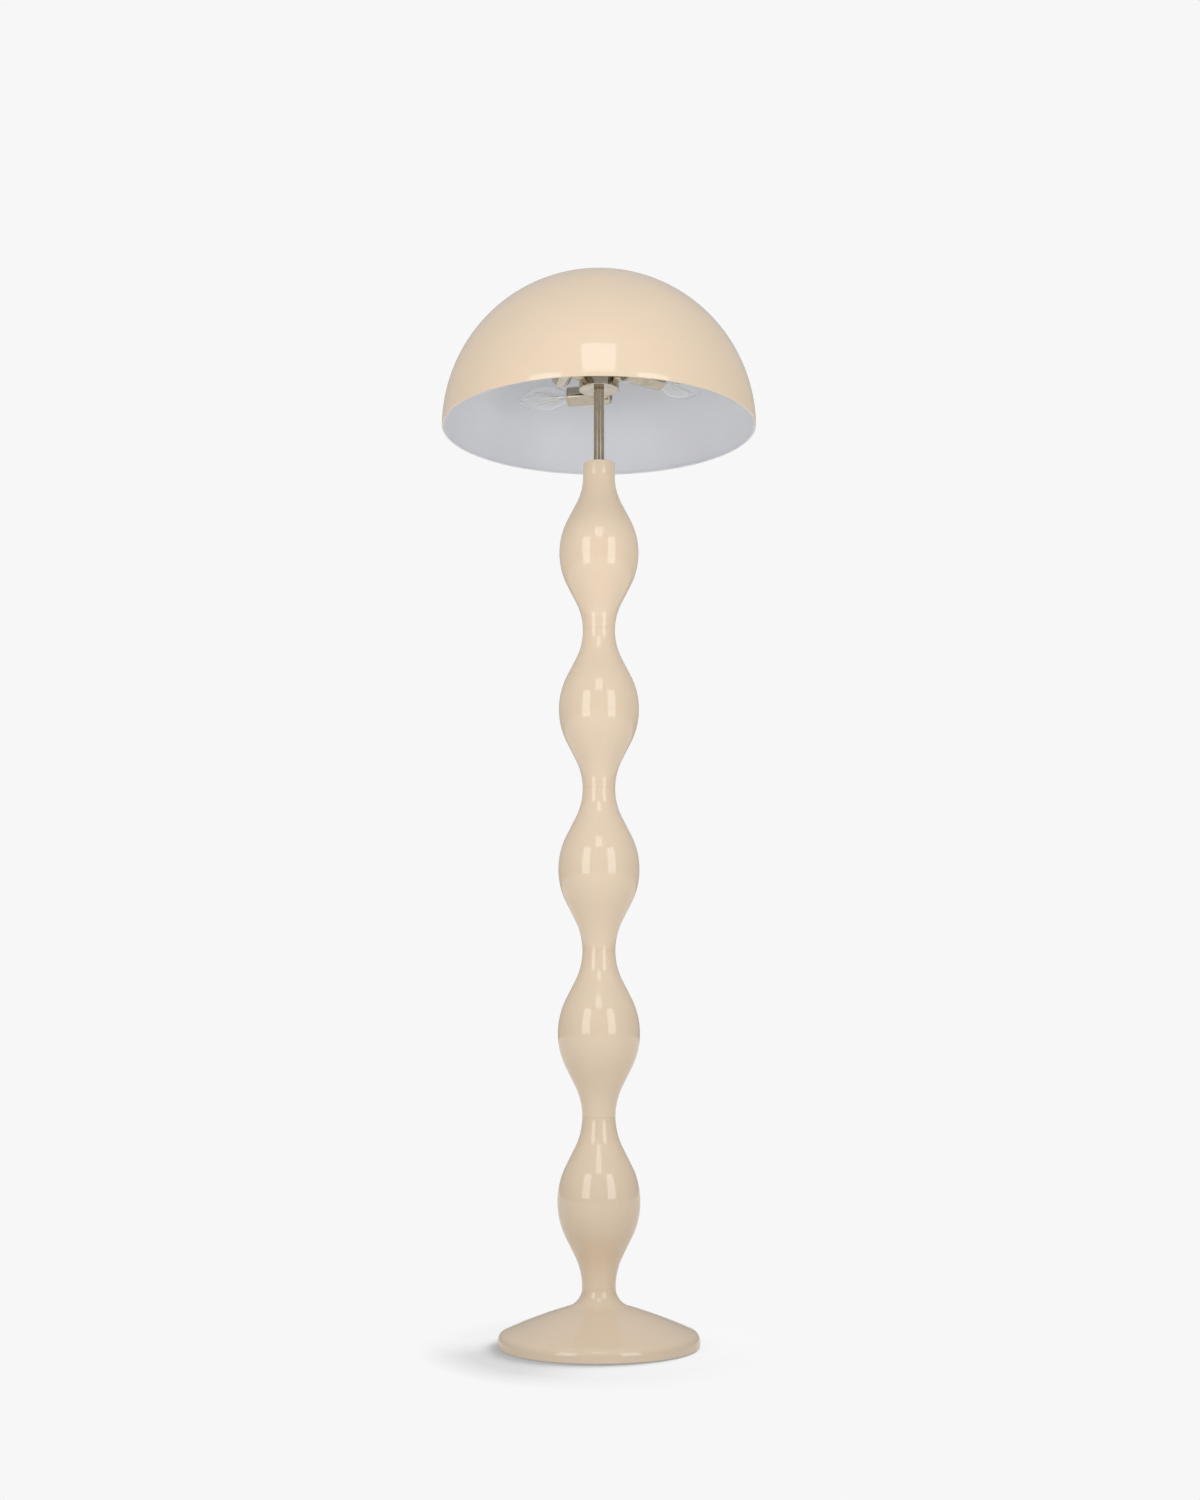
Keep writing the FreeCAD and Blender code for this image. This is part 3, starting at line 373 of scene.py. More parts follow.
def bobbin_outline(bottom):
    """A bobbin's half section: neck arc, straight flank and bead arc, mirrored above."""
    half = BOBBIN_HEIGHT / 2
    drop = BEAD_RADIUS - NECK_RADIUS
    lean = math.atan(drop / half) * (1 + FLANK_FULLNESS)
    curves = (half * math.sin(lean) - drop * math.cos(lean)) / (1 - math.cos(lean))
    bead_curve = curves * BEAD_CURVE_PART
    neck_curve = curves - bead_curve
    neck_end = (NECK_RADIUS + neck_curve * (1 - math.cos(lean)),
                bottom + neck_curve * math.sin(lean))
    bead_start = (BEAD_RADIUS - bead_curve * (1 - math.cos(lean)),
                  bottom + half - bead_curve * math.sin(lean))
    top = bottom + BOBBIN_HEIGHT

    def flipped(point):
        return (point[0], top + bottom - point[1])

    outline = [(COLUMN_BORE, bottom - SPIGOT_LENGTH), (SPIGOT_RADIUS, bottom - SPIGOT_LENGTH),
               (SPIGOT_RADIUS, bottom), (NECK_RADIUS - SEAM_SOFTENING, bottom),
               (NECK_RADIUS, bottom + SEAM_SOFTENING)]
    outline += arc_points(outline[-1], neck_end, neck_curve, "right", steps=22)
    outline += line_points(neck_end, bead_start, steps=6)
    outline += arc_points(bead_start, flipped(bead_start), bead_curve, "left", steps=44)
    outline += line_points(flipped(bead_start), flipped(neck_end), steps=6)
    outline += arc_points(flipped(neck_end), (NECK_RADIUS, top - SEAM_SOFTENING), neck_curve,
                          "right", steps=22)
    outline += [(NECK_RADIUS - SEAM_SOFTENING, top), (SPIGOT_RADIUS, top),
                (SPIGOT_RADIUS, top - SPIGOT_LENGTH), (COLUMN_BORE, top - SPIGOT_LENGTH)]
    return outline


def make_bobbins(finish):
    """The five turned bobbins."""
    for number in BOBBINS:
        node = f"bobbin_{number}"
        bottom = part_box(node)[0][2] + SPIGOT_LENGTH
        piece = lathe(f"turned_bobbin_{number}", bobbin_outline(bottom), [finish["cream"]])
        dress(piece, "root", [node])


def make_collar(finish):
    """The plain ring that ends the column, with a seat for the rod. Its top is lowered."""
    low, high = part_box("column_collar")
    bottom = low[2] + SPIGOT_LENGTH
    top = high[2] - COLLAR_SHORTER
    seat = ROD_RADIUS + ROD_SEAT_PLAY
    outline = [(COLUMN_BORE, low[2]), (SPIGOT_RADIUS, low[2]), (SPIGOT_RADIUS, bottom),
               (NECK_RADIUS - SEAM_SOFTENING, bottom), (NECK_RADIUS, bottom + SEAM_SOFTENING)]
    outline += line_points(outline[-1], (NECK_RADIUS, top - COLLAR_ROUNDING), steps=4)
    outline += arc_points(outline[-1], (NECK_RADIUS - COLLAR_ROUNDING, top), COLLAR_ROUNDING,
                          "left", steps=10)
    outline += [(seat + ROD_SEAT_CHAMFER_WIDTH, top), (seat, top - ROD_SEAT_CHAMFER_DEPTH),
                (seat, top - ROD_SEAT_DEPTH), (COLUMN_BORE, top - ROD_SEAT_DEPTH)]
    piece = lathe("turned_collar", outline, [finish["cream"]])
    dress(piece, "root", ["column_collar"])


# ----------------------------------------------------------------- base

RIM_WALL_TOP = 8.35 * MM
RIM_ROUNDING = 11.0 * MM
RIM_END_SLOPE = math.radians(33.0)
RIM_EDGE_CHAMFER = 0.6 * MM
CONE_BULGE_RADIUS = 734.0 * MM
CONE_TOP_SLOPE = math.radians(17.2)
BASE_NECK_CURVE = 24.5 * MM
SHELL_WALL = 2.0 * MM
FLANGE_DEPTH = 3.0 * MM
SPIGOT_PLAY = 0.15 * MM


def make_base_shell(finish):
    """The spun cover of the base: upright edge, rounded rim, shallow cone and neck."""
    low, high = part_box("base_shell")
    radius = half_width("base_shell")
    edge = low[2]
    seam = high[2]
    centre = radius - RIM_ROUNDING
    neck_centre = NECK_RADIUS + BASE_NECK_CURVE
    rim_end = (centre + RIM_ROUNDING * math.sin(RIM_END_SLOPE),
               RIM_WALL_TOP + RIM_ROUNDING * math.cos(RIM_END_SLOPE))
    cone_end = (neck_centre - BASE_NECK_CURVE * math.sin(CONE_TOP_SLOPE),
                seam - BASE_NECK_CURVE * math.cos(CONE_TOP_SLOPE))
    inner_rim = RIM_ROUNDING - SHELL_WALL
    rim_end_in = (centre + inner_rim * math.sin(RIM_END_SLOPE),
                  RIM_WALL_TOP + inner_rim * math.cos(RIM_END_SLOPE))
    inner_neck = BASE_NECK_CURVE + SHELL_WALL
    cone_end_in = (neck_centre - inner_neck * math.sin(CONE_TOP_SLOPE),
                   seam - inner_neck * math.cos(CONE_TOP_SLOPE))
    flange = seam - FLANGE_DEPTH
    outline = [(radius - RIM_EDGE_CHAMFER, edge), (radius, edge + RIM_EDGE_CHAMFER)]
    outline += line_points(outline[-1], (radius, RIM_WALL_TOP), steps=4)
    outline += arc_points(outline[-1], rim_end, RIM_ROUNDING, "left", steps=16)
    outline += arc_points(rim_end, cone_end, CONE_BULGE_RADIUS, "left", steps=30)
    outline += arc_points(cone_end, (NECK_RADIUS, seam - SEAM_SOFTENING), BASE_NECK_CURVE,
                          "right", steps=24)
    outline += [(NECK_RADIUS - SEAM_SOFTENING, seam), (SPIGOT_RADIUS + SPIGOT_PLAY, seam),
                (SPIGOT_RADIUS + SPIGOT_PLAY, flange), (NECK_RADIUS - SHELL_WALL, flange)]
    outline += arc_points(outline[-1], cone_end_in, inner_neck, "left", steps=14)
    outline += arc_points(cone_end_in, rim_end_in, CONE_BULGE_RADIUS - SHELL_WALL, "right",
                          steps=16)
    outline += arc_points(rim_end_in, (radius - SHELL_WALL, RIM_WALL_TOP), inner_rim, "right",
                          steps=8)
    outline += [(radius - SHELL_WALL, edge)]
    piece = lathe("spun_base", outline, [finish["cream"]], around=192, sharp=40.0)
    dress(piece, "root", ["base_shell"])


# ---------------------------------------------------------------- shade

SHADE_WALL = 1.2 * MM
SHADE_FLAT = 15.0 * MM
SHADE_HOLE = 5.2 * MM
HEM_HEIGHT = 3.0 * MM
HEM_WALL = 2.4 * MM
HEM_FOLD = (0.3 * MM, 0.1 * MM)
HEM_FOLD_END = 0.6 * MM


def make_shade(finish):
    """The half-round shade: gloss cream outside, satin white inside, with a folded hem."""
    low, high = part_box("shade")
    radius = half_width("shade")
    rim = low[2]
    inner = radius - SHADE_WALL
    seat = high[2]
    seat_in = seat - SHADE_WALL
    flat_in = math.sqrt(inner ** 2 - (seat_in - rim) ** 2)
    hem_top_in = (math.sqrt(inner ** 2 - HEM_HEIGHT ** 2), rim + HEM_HEIGHT)
    hem_in = radius - HEM_WALL
    lip = HEM_WALL / 2
    outline = [(radius - lip, rim)]
    outline += arc_points(outline[-1], (radius, rim + lip), lip, "left", steps=6)
    outline += arc_points(outline[-1], (SHADE_FLAT, seat), radius, "left", steps=96)
    outline += [(SHADE_HOLE, seat), (SHADE_HOLE, seat_in), (flat_in, seat_in)]
    turn_in = len(outline) - 2
    outline += arc_points(outline[-1], hem_top_in, inner, "right", steps=96)
    outline += [(hem_in + HEM_FOLD[0], hem_top_in[1] - HEM_FOLD[1]),
                (hem_in, hem_top_in[1] - HEM_FOLD_END)]
    outline += arc_points((hem_in, rim + lip), (radius - lip, rim), lip, "left", steps=6)[:-1]

    def side(edge):
        return 1 if edge >= turn_in else 0

    piece = lathe("half_round_shade", outline, [finish["cream"], finish["inside"]], around=256,
                  slot_of=side, sharp=50.0)
    dress(piece, "shade", ["shade"])


# ---------------------------------------------------------- rod and hub

HUB_LOWER = 2.5 * MM
HUB_WALL = 2.0 * MM
HUB_BORE = 5.3 * MM
HUB_ROUNDING = 1.0 * MM
HUB_STEP_DEPTH = 0.5 * MM
HUB_STEP_CORNERS = (2.2 * MM, 2.0 * MM, 1.6 * MM, 1.4 * MM)
ROD_BORE = 5.2 * MM
ROD_EDGE = 0.3 * MM
ROD_GROOVE_DEPTH = 0.9 * MM
ROD_GROOVE_CORNERS = (2.1 * MM, 1.6 * MM, 0.6 * MM, 0.2 * MM)


def make_rod(finish):
    """The brass sleeve over the tube, from the lowered collar to the lowered hub.

    It has a groove just under its top.
    """
    low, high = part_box("rod_sleeve")
    bottom = low[2] - COLLAR_SHORTER
    top = high[2] - HUB_LOWER
    head = groove(ROD_RADIUS, top, ROD_GROOVE_DEPTH, ROD_GROOVE_CORNERS)
    outline = [(ROD_BORE, bottom), (ROD_RADIUS - ROD_EDGE, bottom), (ROD_RADIUS, bottom + ROD_EDGE)]
    outline += line_points(outline[-1], head[0], steps=12)
    outline += head[1:] + [(ROD_RADIUS, top), (ROD_BORE, top)]
    piece = lathe("brass_rod", outline, [finish["rod_brass"]], around=64)
    dress(piece, "root", ["rod_sleeve"])


def make_hub(finish):
    """The round hub: a polished cup with a fine step at its mouth. Its underside is lowered."""
    low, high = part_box("hub_body")
    radius = half_width("hub_body")
    bottom = low[2] - HUB_LOWER
    mouth = high[2]
    step = groove(radius, mouth, HUB_STEP_DEPTH, HUB_STEP_CORNERS)
    outline = [(HUB_BORE, bottom)]
    outline += line_points(outline[-1], (radius - HUB_ROUNDING, bottom), steps=6)
    outline += arc_points(outline[-1], (radius, bottom + HUB_ROUNDING), HUB_ROUNDING, "left",
                          steps=8)
    outline += line_points(outline[-1], step[0], steps=8)
    outline += step[1:]
    outline += [(radius, mouth), (radius - HUB_WALL, mouth),
                (radius - HUB_WALL, bottom + HUB_WALL), (HUB_BORE, bottom + HUB_WALL)]
    piece = lathe("polished_hub", outline, [finish["brass"]], around=128)
    dress(piece, "root", ["hub_body"])


# ------------------------------------------------- lampholders and bulbs

ARM_AZIMUTH = 91.5
ARM_REACH = 56.0 * MM
SLEEVE_TURN = {1: 76.5, 2: 68.5, 3: 67.1}
SLEEVE_RADIUS = 13.2 * MM
SLEEVE_WALL = 1.2 * MM
SLEEVE_ROUNDING = 2.5 * MM
SLEEVE_LENGTH = 60.0 * MM
SLEEVE_ENTRY = 18.0 * MM
SLEEVE_GROOVE_DEPTH = 0.35 * MM
SLEEVE_GROOVE_CORNERS = (2.6 * MM, 2.3 * MM, 1.9 * MM, 1.6 * MM)
SLEEVE_LIP = 0.3 * MM
SLEEVE_LIP_INSIDE = 0.2 * MM
SLEEVE_FLOOR = 2.1 * MM
SLEEVE_CORNER_WIDTH = 1.4 * MM
SLEEVE_CORNER_TOP = 3.0 * MM
DISHED_END = in_mm([(0.0, 0.9), (5.0, 0.85), (7.4, 0.6), (8.4, 0.1), (9.0, 0.0)])
# The first edges of the sleeve's outline cross its dished end and get the painted shade
PAINTED_SHADE_EDGES = 3
BULB_FOOT = 15.5 * MM


def bulb_place(number):
    """The frame of a bulb: Z runs along its axis from the tip of its cap."""
    arm = math.radians(ARM_AZIMUTH + 120 * (number - 1))
    turn = arm + math.radians(SLEEVE_TURN[number])
    low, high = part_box(f"holder_sleeve_{number}")
    start = Vector((ARM_REACH * math.cos(arm), ARM_REACH * math.sin(arm), (low[2] + high[2]) / 2))
    start += BULB_FOOT * Vector((math.cos(turn), math.sin(turn), 0))
    return (Matrix.Translation(start) @ Matrix.Rotation(turn, 4, "Z")
            @ Matrix.Rotation(math.pi / 2, 4, "Y"))


def sleeve_outline():
    """A sleeve from the middle of its closed end to its grooved mouth, and back inside."""
    radius = SLEEVE_RADIUS
    inner = radius - SLEEVE_WALL
    mouth = SLEEVE_LENGTH
    roll = groove(radius, mouth, SLEEVE_GROOVE_DEPTH, SLEEVE_GROOVE_CORNERS)
    outline = DISHED_END + [(radius - SLEEVE_ROUNDING, 0.0)]
    outline += arc_points(outline[-1], (radius, SLEEVE_ROUNDING), SLEEVE_ROUNDING, "left", steps=12)
    outline += line_points(outline[-1], roll[0], steps=14)
    outline += roll[1:]
    outline += [(radius, mouth - SLEEVE_LIP), (radius - SLEEVE_LIP, mouth),
                (inner + SLEEVE_LIP_INSIDE, mouth), (inner, mouth - SLEEVE_LIP),
                (inner, SLEEVE_CORNER_TOP), (inner - SLEEVE_CORNER_WIDTH, SLEEVE_FLOOR),
                (0.0, SLEEVE_FLOOR)]
    return outline


def make_sleeves(finish):
    """The lampholders' sleeves: a dished end painted in a darker brass as painted shade, in a
    rounded rim of polished brass, and a rolled mouth.
    """
    # Painted shade: the dish takes the darker brass, the rest takes the plain brass
    def painted_shade_slot(edge):
        return 1 if edge < PAINTED_SHADE_EDGES else 0

    for number in ARMS:
        place = bulb_place(number) @ Matrix.Translation((0, 0, -SLEEVE_ENTRY - BULB_FOOT))
        piece = lathe(f"polished_sleeve_{number}", sleeve_outline(),
                      [finish["brass"], finish["painted_shade_brass"]], place, slot_of=painted_shade_slot,
                      closed=False)
        dress(piece, "root", [f"holder_sleeve_{number}"])


CAP_RADIUS = 6.85 * MM
CAP_LENGTH = 18.0 * MM
CAP_WALL = 0.6 * MM
CAP_FOOT = in_mm([(0.0, 0.0), (1.9, 0.0), (2.5, 0.5), (2.6, 1.2), (4.6, 2.2)])
CAP_SHOULDER = 3.2 * MM
CAP_FLARE = 2.2 * MM
CAP_SIDES = 48
THREAD_PITCH = 2.8 * MM
THREAD_DEPTH = 0.55 * MM
THREAD_ROWS = 42
THREAD_FADE_ROWS = 5
MERGE_DISTANCE = 0.001 * MM


def cap_rows():
    """The cap's outline as rows of radius, height and how deep the thread is there."""
    root = CAP_RADIUS - THREAD_DEPTH
    thread_end = CAP_LENGTH - CAP_FLARE
    rows = [(radius, height, 0.0) for radius, height in CAP_FOOT]
    rows.append((root, CAP_SHOULDER, 0.0))
    for row in range(1, THREAD_ROWS):
        height = CAP_SHOULDER + (thread_end - CAP_SHOULDER) * row / THREAD_ROWS
        fade = min(1.0, row / THREAD_FADE_ROWS, (THREAD_ROWS - row) / THREAD_FADE_ROWS)
        rows.append((root, height, fade))
    rows += [(root, thread_end, 0.0), (CAP_RADIUS, CAP_LENGTH, 0.0),
             (CAP_RADIUS - CAP_WALL, CAP_LENGTH, 0.0), (root - CAP_WALL, thread_end, 0.0),
             (root - CAP_WALL, CAP_SHOULDER + CAP_WALL, 0.0), (0.0, CAP_SHOULDER + CAP_WALL, 0.0)]
    return rows


def make_cap(number, place, material):
    """The metal screw cap with its rolled thread, shoulder and contact button."""
    rows = cap_rows()
    verts = []
    for radius, height, fade in rows:
        for step in range(CAP_SIDES):
            turn = 2 * math.pi * step / CAP_SIDES
            wave = 0.5 + 0.5 * math.cos(2 * math.pi * height / THREAD_PITCH - turn)
            reach = radius + THREAD_DEPTH * fade * wave
            verts.append(place @ Vector((reach * math.cos(turn), reach * math.sin(turn), height)))
    faces = []
    for row in range(len(rows) - 1):
        low = row * CAP_SIDES
        high = low + CAP_SIDES
        for step in range(CAP_SIDES):
            after = (step + 1) % CAP_SIDES
            faces.append((low + step, low + after, high + after, high + step))
    piece = add_object(f"screw_cap_{number}", verts, faces, [material], [0] * len(faces), 40.0)
    work = bmesh.new()
    work.from_mesh(piece.data)
    bmesh.ops.remove_doubles(work, verts=work.verts, dist=MERGE_DISTANCE)
    bmesh.ops.recalc_face_normals(work, faces=work.faces)
    work.to_mesh(piece.data)
    work.free()
    dress(piece, f"bulb_{number}", [f"bulb_cap_{number}"])


GLASS_FOOT = CAP_LENGTH - 4.0 * MM
GLASS_NECK = 6.1 * MM
GLASS_NECK_END = 23.0 * MM
GLASS_RADIUS = 17.5 * MM
GLASS_WIDEST = 55.0 * MM
GLASS_SWELL_POWER = 1.3
GLASS_TIP = 1.8 * MM
GLASS_TIP_FLAT_PART = 0.6
GLASS_WALL = 0.45 * MM
BULB_LENGTH = 98.0 * MM


def rear_curve(steps):
    """From the glass's neck to its widest, as a smooth S."""
    points = []
    for step in range(1, steps + 1):
        share = step / steps
        ease = math.sin(math.pi / 2 * share) ** GLASS_SWELL_POWER
        points.append((GLASS_NECK + (GLASS_RADIUS - GLASS_NECK) * ease,
                       GLASS_NECK_END + (GLASS_WIDEST - GLASS_NECK_END) * share))
    return points


def glass_outline():
    """The half section of a bulb's glass, outside and then inside."""
    outside = [(GLASS_NECK, GLASS_FOOT), (GLASS_NECK, GLASS_NECK_END)]
    outside += rear_curve(steps=24)
    outside += level_arc((GLASS_RADIUS, GLASS_WIDEST), (GLASS_TIP, BULB_LENGTH), steps=30)

    def lowered(height):
        share = max(height - GLASS_WIDEST, 0.0) / (BULB_LENGTH - GLASS_WIDEST)
        return height - 2 * GLASS_WALL * share

    inside = [(max(radius - GLASS_WALL, 0.0), lowered(height)) for radius, height in outside]
    inside.append((0.0, BULB_LENGTH - 2 * GLASS_WALL))
    outside += [(GLASS_TIP * GLASS_TIP_FLAT_PART, BULB_LENGTH), (0.0, BULB_LENGTH)]
    return outside + inside[::-1]


STEM_OUTLINE = in_mm([(0.0, 15.0), (3.6, 15.0), (3.4, 20.0), (2.0, 25.0), (1.5, 34.0), (1.3, 44.0),
                      (2.2, 47.0), (1.6, 49.4), (0.0, 50.0)])
STICKS = 4
FIRST_STICK_TURN = 45.0
STICK_LEAN = math.radians(14.0)
STICK_FOOT = (2.6 * MM, 0, 40.0 * MM)
STICK_RADIUS = 0.7 * MM
STICK_LENGTH = 32.0 * MM
WIRE_OUTLINE = in_mm([(0.0, -14.0), (0.22, -14.0), (0.22, 0.6), (0.0, 0.6)])


def stick_outline():
    """A filament stick with round ends."""
    low = (STICK_RADIUS, STICK_RADIUS)
    high = (STICK_RADIUS, STICK_LENGTH - STICK_RADIUS)
    outline = [(0.0, 0.0)] + arc_points((0.0, 0.0), low, STICK_RADIUS, "left", steps=5)
    outline += line_points(low, high, steps=4)
    outline += arc_points(high, (0.0, STICK_LENGTH), STICK_RADIUS, "left", steps=5)
    return outline


def make_filaments(number, place, finish):
    """A bulb's glass stem and the coated sticks that stand round it on their lead wires."""
    body = f"bulb_{number}"
    stands_for = [f"bulb_filament_{number}"]
    stem = lathe(f"glass_stem_{number}", STEM_OUTLINE, [finish["glass"]], place, around=32,
                 sharp=60.0, closed=False)
    dress(stem, body, stands_for)
    for index in range(STICKS):
        spin = Matrix.Rotation(math.radians(FIRST_STICK_TURN + 360 / STICKS * index), 4, "Z")
        foot = place @ spin @ Matrix.Translation(STICK_FOOT)
        lean = Matrix.Rotation(STICK_LEAN, 4, "Y")
        stick = lathe(f"filament_{number}_{index + 1}", stick_outline(), [finish["filament"]],
                      foot @ lean, around=20, sharp=60.0, closed=False)
        dress(stick, body, stands_for)
        wire = lathe(f"lead_wire_{number}_{index + 1}", WIRE_OUTLINE, [finish["wire"]], foot,
                     around=12, closed=False)
        dress(wire, body, stands_for)


def make_bulbs(finish):
    """Three clear candle bulbs: cap, glass, stem and filaments."""
    for number in ARMS:
        place = bulb_place(number)
        make_cap(number, place, finish["cap"])
        glass = lathe(f"candle_glass_{number}", glass_outline(), [finish["glass"]], place,
                      around=72)
        dress(glass, f"bulb_{number}", [f"bulb_glass_{number}"])
        make_filaments(number, place, finish)


# ------------------------------------------- nodes that keep their shape

CAD_FINISH = {
    "base_weight": "iron", "base_plate": "black", "base_pad": "felt", "base_screws": "zinc",
    "cord_bush": "rubber", "base_nut": "zinc", "base_washer": "zinc", "central_tube": "zinc",
    "hub_cover": "brass", "hub_nut": "zinc", "cover_nut": "zinc", "terminal_block": "white",
    "shade_washer": "zinc", "shade_nut": "zinc", "finial": "brass",
}
CAD_FINISH_OF_ARM = {
    "arm": "brass", "arm_nut": "zinc", "holder_insert": "white", "holder_shell": "plain_brass",
    "holder_contact": "plain_brass", "holder_ring": "white",
}


def keep_cad(node, material):
    """Give a CAD node its finish."""
    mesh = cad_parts[node].data
    mesh.materials.clear()
    mesh.materials.append(material)
    mesh.shade_smooth()
    mesh.set_sharp_from_angle(angle=math.radians(30.0))


def finish_cad_nodes(finish):
    """The pieces that keep their CAD shape."""
    for node, name in CAD_FINISH.items():
        keep_cad(node, finish[name])
    for number in ARMS:
        for node, name in CAD_FINISH_OF_ARM.items():
            keep_cad(f"{node}_{number}", finish[name])


# ---------------------------------------------------------------- stage

SKY_COLOUR = (0.96, 0.98, 1.0)
HORIZON_LIGHT = 0.11
ZENITH_LIGHT = 0.76
MIRRORED_PAGE = 0.25

FLOOR_RADIUS = 8.0
FLOOR_SIDES = 64
FLOOR_COLOUR = (0.20, 0.20, 0.20)
FLOOR_GLOW = 0.36
FADE_SQUEEZE = (1, 0.8, 1)
FADE_START = 0.165
FADE_END = 0.225
NEAR_BOUNCE = 0.55
FAR_BOUNCE = 1.2
BOUNCE_START = 0.3
BOUNCE_END = 2.0


def calculate(nodes, links, operation, first, second):
    """One step of arithmetic on a socket and a second socket or number."""
    node = nodes.new("ShaderNodeMath")
    node.operation = operation
    links.new(first, node.inputs[0])
    if isinstance(second, float):
        node.inputs[1].default_value = second
    else:
        links.new(second, node.inputs[1])
    return node.outputs[0]


def glow(nodes, kind, colour, strength=1.0):
    """A shader that gives light of its own: an emission, or a world's background."""
    shader = nodes.new(kind)
    shader.inputs["Color"].default_value = (*colour, 1)
    shader.inputs["Strength"].default_value = strength
    return shader


def choose(nodes, links, value, first, second):
    """The first shader where the value is 0, the second where it is 1."""
    mix = nodes.new("ShaderNodeMixShader")
    links.new(value, mix.inputs["Fac"])
    links.new(first.outputs[0], mix.inputs[1])
    links.new(second.outputs[0], mix.inputs[2])
    return mix


def make_world():
    """A plain pale studio: the page's white for the camera, softer as light and in mirrors."""
    world = bpy.data.worlds.new("studio")
    bpy.context.scene.world = world
    world.use_nodes = True
    nodes = world.node_tree.nodes
    links = world.node_tree.links
    nodes.clear()
    output = nodes.new("ShaderNodeOutputWorld")
    page = glow(nodes, "ShaderNodeBackground", PAGE_WHITE)
    sky = glow(nodes, "ShaderNodeBackground", SKY_COLOUR)
    split = nodes.new("ShaderNodeSeparateXYZ")
    links.new(nodes.new("ShaderNodeTexCoord").outputs["Generated"], split.inputs[0])
    links.new(spread(nodes, links, split.outputs["Z"], HORIZON_LIGHT, ZENITH_LIGHT, 0.0, 1.0),
              sky.inputs["Strength"])
    rays = nodes.new("ShaderNodeLightPath").outputs
    mirrored = calculate(nodes, links, "MULTIPLY", rays["Is Glossy Ray"], MIRRORED_PAGE)
    seen = calculate(nodes, links, "MAXIMUM", rays["Is Camera Ray"], mirrored)
    seen = calculate(nodes, links, "MAXIMUM", seen, rays["Is Transmission Ray"])
    links.new(choose(nodes, links, seen, sky, page).outputs[0], output.inputs["Surface"])


def floor_material():
    """Pale near the lamp, where it keeps the shadow, and the page's own white further out.

    Diffuse rays see the light that a pale floor would send up. The floor is clear from below,
    so that the underside of the base can be seen.
    """
    material, nodes, links, output = new_material("pale_floor")
    shadowed = nodes.new("ShaderNodeBsdfDiffuse")
    shadowed.inputs["Color"].default_value = (*FLOOR_COLOUR, 1)
    near = nodes.new("ShaderNodeAddShader")
    links.new(shadowed.outputs[0], near.inputs[0])
    links.new(glow(nodes, "ShaderNodeEmission", PAGE_WHITE, FLOOR_GLOW).outputs[0], near.inputs[1])
    page = glow(nodes, "ShaderNodeEmission", PAGE_WHITE)
    squeeze = nodes.new("ShaderNodeVectorMath")
    squeeze.operation = "MULTIPLY"
    squeeze.inputs[1].default_value = FADE_SQUEEZE
    links.new(object_point(nodes), squeeze.inputs[0])
    length = nodes.new("ShaderNodeVectorMath")
    length.operation = "LENGTH"
    links.new(squeeze.outputs[0], length.inputs[0])
    out = length.outputs["Value"]
    fade = spread(nodes, links, out, 0, 1, FADE_START, FADE_END)
    bounce = glow(nodes, "ShaderNodeEmission", PAGE_WHITE)
    links.new(spread(nodes, links, out, NEAR_BOUNCE, FAR_BOUNCE, BOUNCE_START, BOUNCE_END),
              bounce.inputs["Strength"])
    above = choose(nodes, links, nodes.new("ShaderNodeLightPath").outputs["Is Diffuse Ray"],
                   choose(nodes, links, fade, near, page), bounce)
    floor = choose(nodes, links, nodes.new("ShaderNodeNewGeometry").outputs["Backfacing"],
                   above, nodes.new("ShaderNodeBsdfTransparent"))
    links.new(floor.outputs[0], output.inputs["Surface"])
    return material


def make_floor():
    """A plain round floor."""
    verts = [(FLOOR_RADIUS * math.cos(turn), FLOOR_RADIUS * math.sin(turn), 0)
             for turn in [2 * math.pi * side / FLOOR_SIDES for side in range(FLOOR_SIDES)]]
    mesh = bpy.data.meshes.new("floor")
    mesh.from_pydata(verts, [], [tuple(range(FLOOR_SIDES))])
    mesh.materials.append(floor_material())
    floor = bpy.data.objects.new("floor", mesh)
    bpy.context.scene.collection.objects.link(floor)
    return floor


# --------------------------------------------------------------- lights

# A turn of zero degrees is towards the camera. Distances are from the axis, powers in watts.
SOFT_BOX = dict(distance=2.5, height=1.26, aim_height=1.26, size=(1.0, 1.85), power=17.0)
LAMPS = {
    "left_box": dict(SOFT_BOX, turn=-37.0),
    "right_box": dict(SOFT_BOX, turn=37.0),
    "top_box": dict(turn=0.0, distance=1.75, height=2.25, aim_height=1.1, size=(0.75, 0.75),
                    power=4.4),
    "back_fill": dict(turn=180.0, distance=3.2, height=1.5, aim_height=1.0, size=(2.4, 2.0),
                      power=9.0),
    "floor_key": dict(turn=130.0, distance=3.4, height=2.6, aim_height=0.0, size=(4.2, 2.4),
                      power=760.0),
}


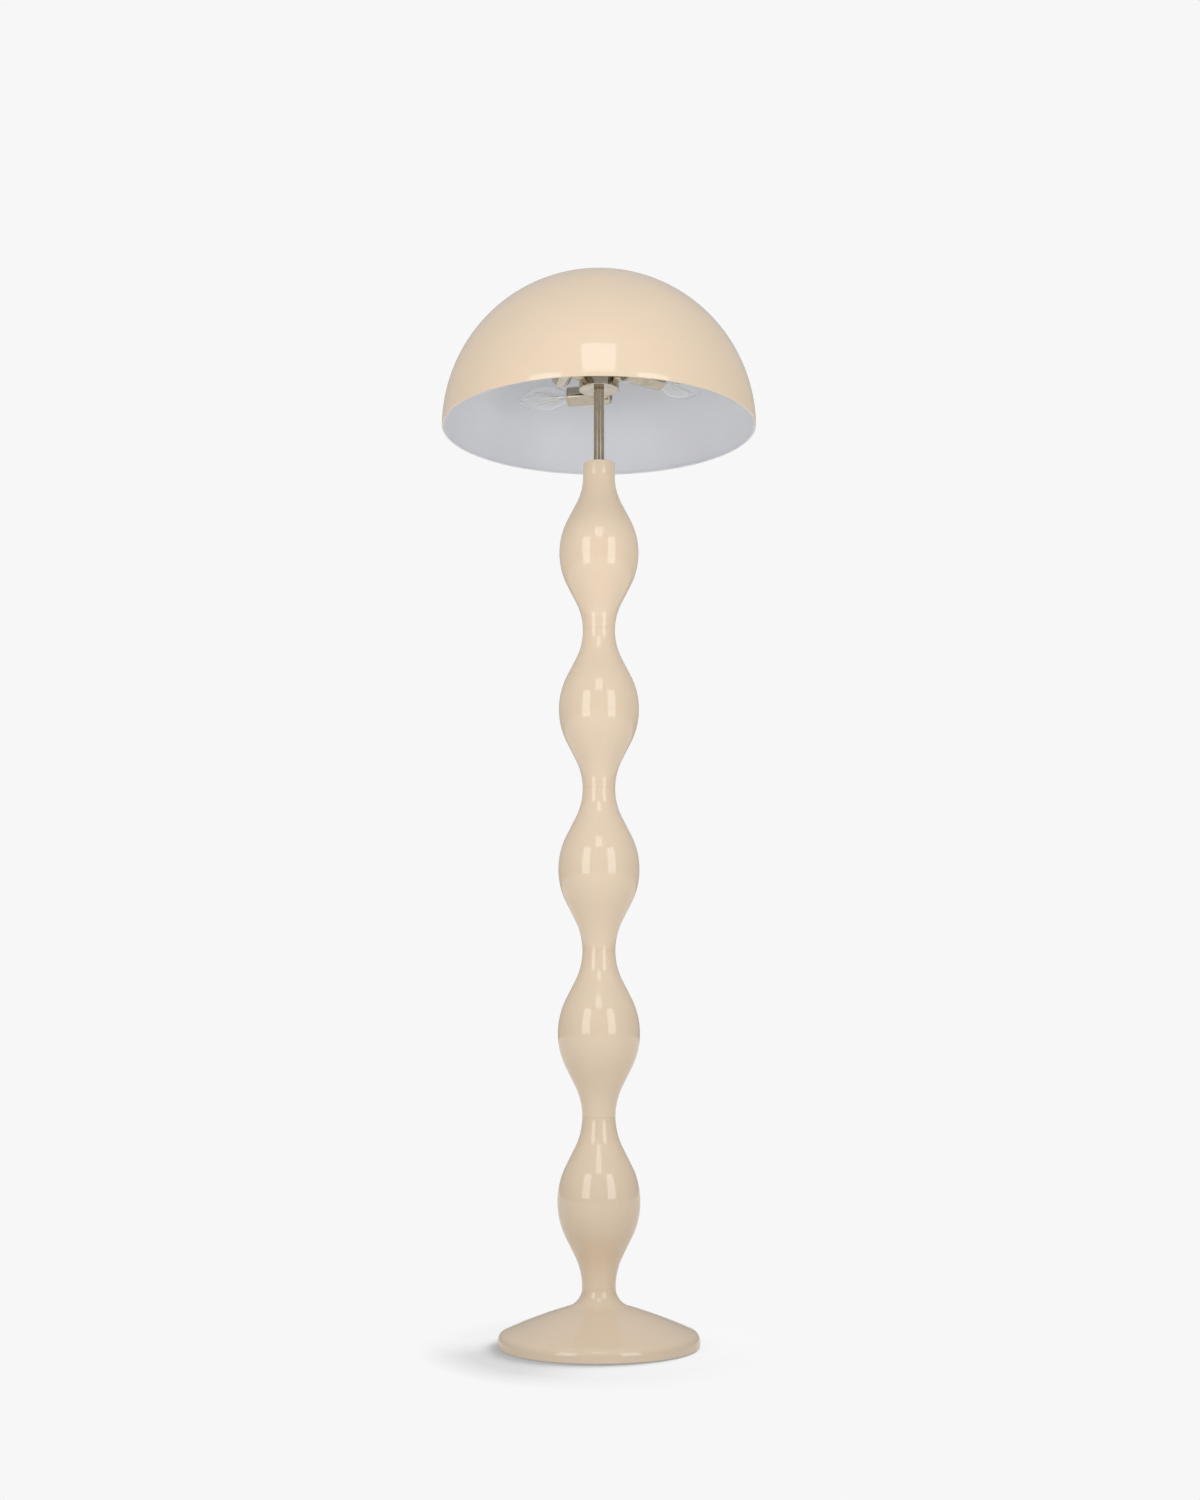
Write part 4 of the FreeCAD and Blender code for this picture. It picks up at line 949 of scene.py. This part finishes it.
def area_light(name, turn, distance, height, aim_height, size, power):
    """A rectangular soft light that faces a point on the lamp's axis."""
    data = bpy.data.lights.new(name, "AREA")
    data.shape = "RECTANGLE"
    data.size, data.size_y = size
    data.energy = power
    lamp = bpy.data.objects.new(name, data)
    angle = math.radians(turn)
    lamp.location = (distance * math.sin(angle), -distance * math.cos(angle), height)
    direction = Vector((0, 0, aim_height)) - Vector(lamp.location)
    lamp.rotation_euler = direction.to_track_quat("-Z", "Y").to_euler()
    bpy.context.scene.collection.objects.link(lamp)
    return lamp


def make_lights(floor):
    """Two tall soft boxes beside the camera, one above it, a fill behind and a key for the floor.

    The fill has no mirror image in the lacquer. The key lights only the floor, for the shadow.
    """
    lamps = {name: area_light(name, **values) for name, values in LAMPS.items()}
    lamps["back_fill"].visible_glossy = False
    floor_only = bpy.data.collections.new("floor_only")
    floor_only.objects.link(floor)
    lamps["floor_key"].light_linking.receiver_collection = floor_only


CAMERA_HEIGHT = 0.406
CAMERA_DISTANCE = 2.389
CAMERA_SIDE = 0.0014
CAMERA_TILT = math.radians(8.26)
FOCAL_PIXELS = 1847.0
IMAGE_HEIGHT = 1500.0
SENSOR_MM = 36.0
FARTHEST_SEEN = 100.0


def make_camera():
    """The camera at the photograph's place, tilted a little up."""
    data = bpy.data.cameras.new("camera")
    data.sensor_fit = "VERTICAL"
    data.sensor_height = SENSOR_MM
    data.lens = SENSOR_MM * FOCAL_PIXELS / IMAGE_HEIGHT
    data.clip_end = FARTHEST_SEEN
    camera = bpy.data.objects.new("camera", data)
    camera.location = (CAMERA_SIDE, -CAMERA_DISTANCE, CAMERA_HEIGHT)
    camera.rotation_euler = (math.pi / 2 + CAMERA_TILT, 0, 0)
    bpy.context.scene.collection.objects.link(camera)
    bpy.context.scene.camera = camera


def main():
    finish = make_materials()
    finish_cad_nodes(finish)
    make_base_shell(finish)
    make_bobbins(finish)
    make_collar(finish)
    make_rod(finish)
    make_shade(finish)
    make_hub(finish)
    make_sleeves(finish)
    make_bulbs(finish)
    make_world()
    make_lights(make_floor())
    make_camera()
    bpy.context.scene.view_settings.view_transform = "Standard"


main()
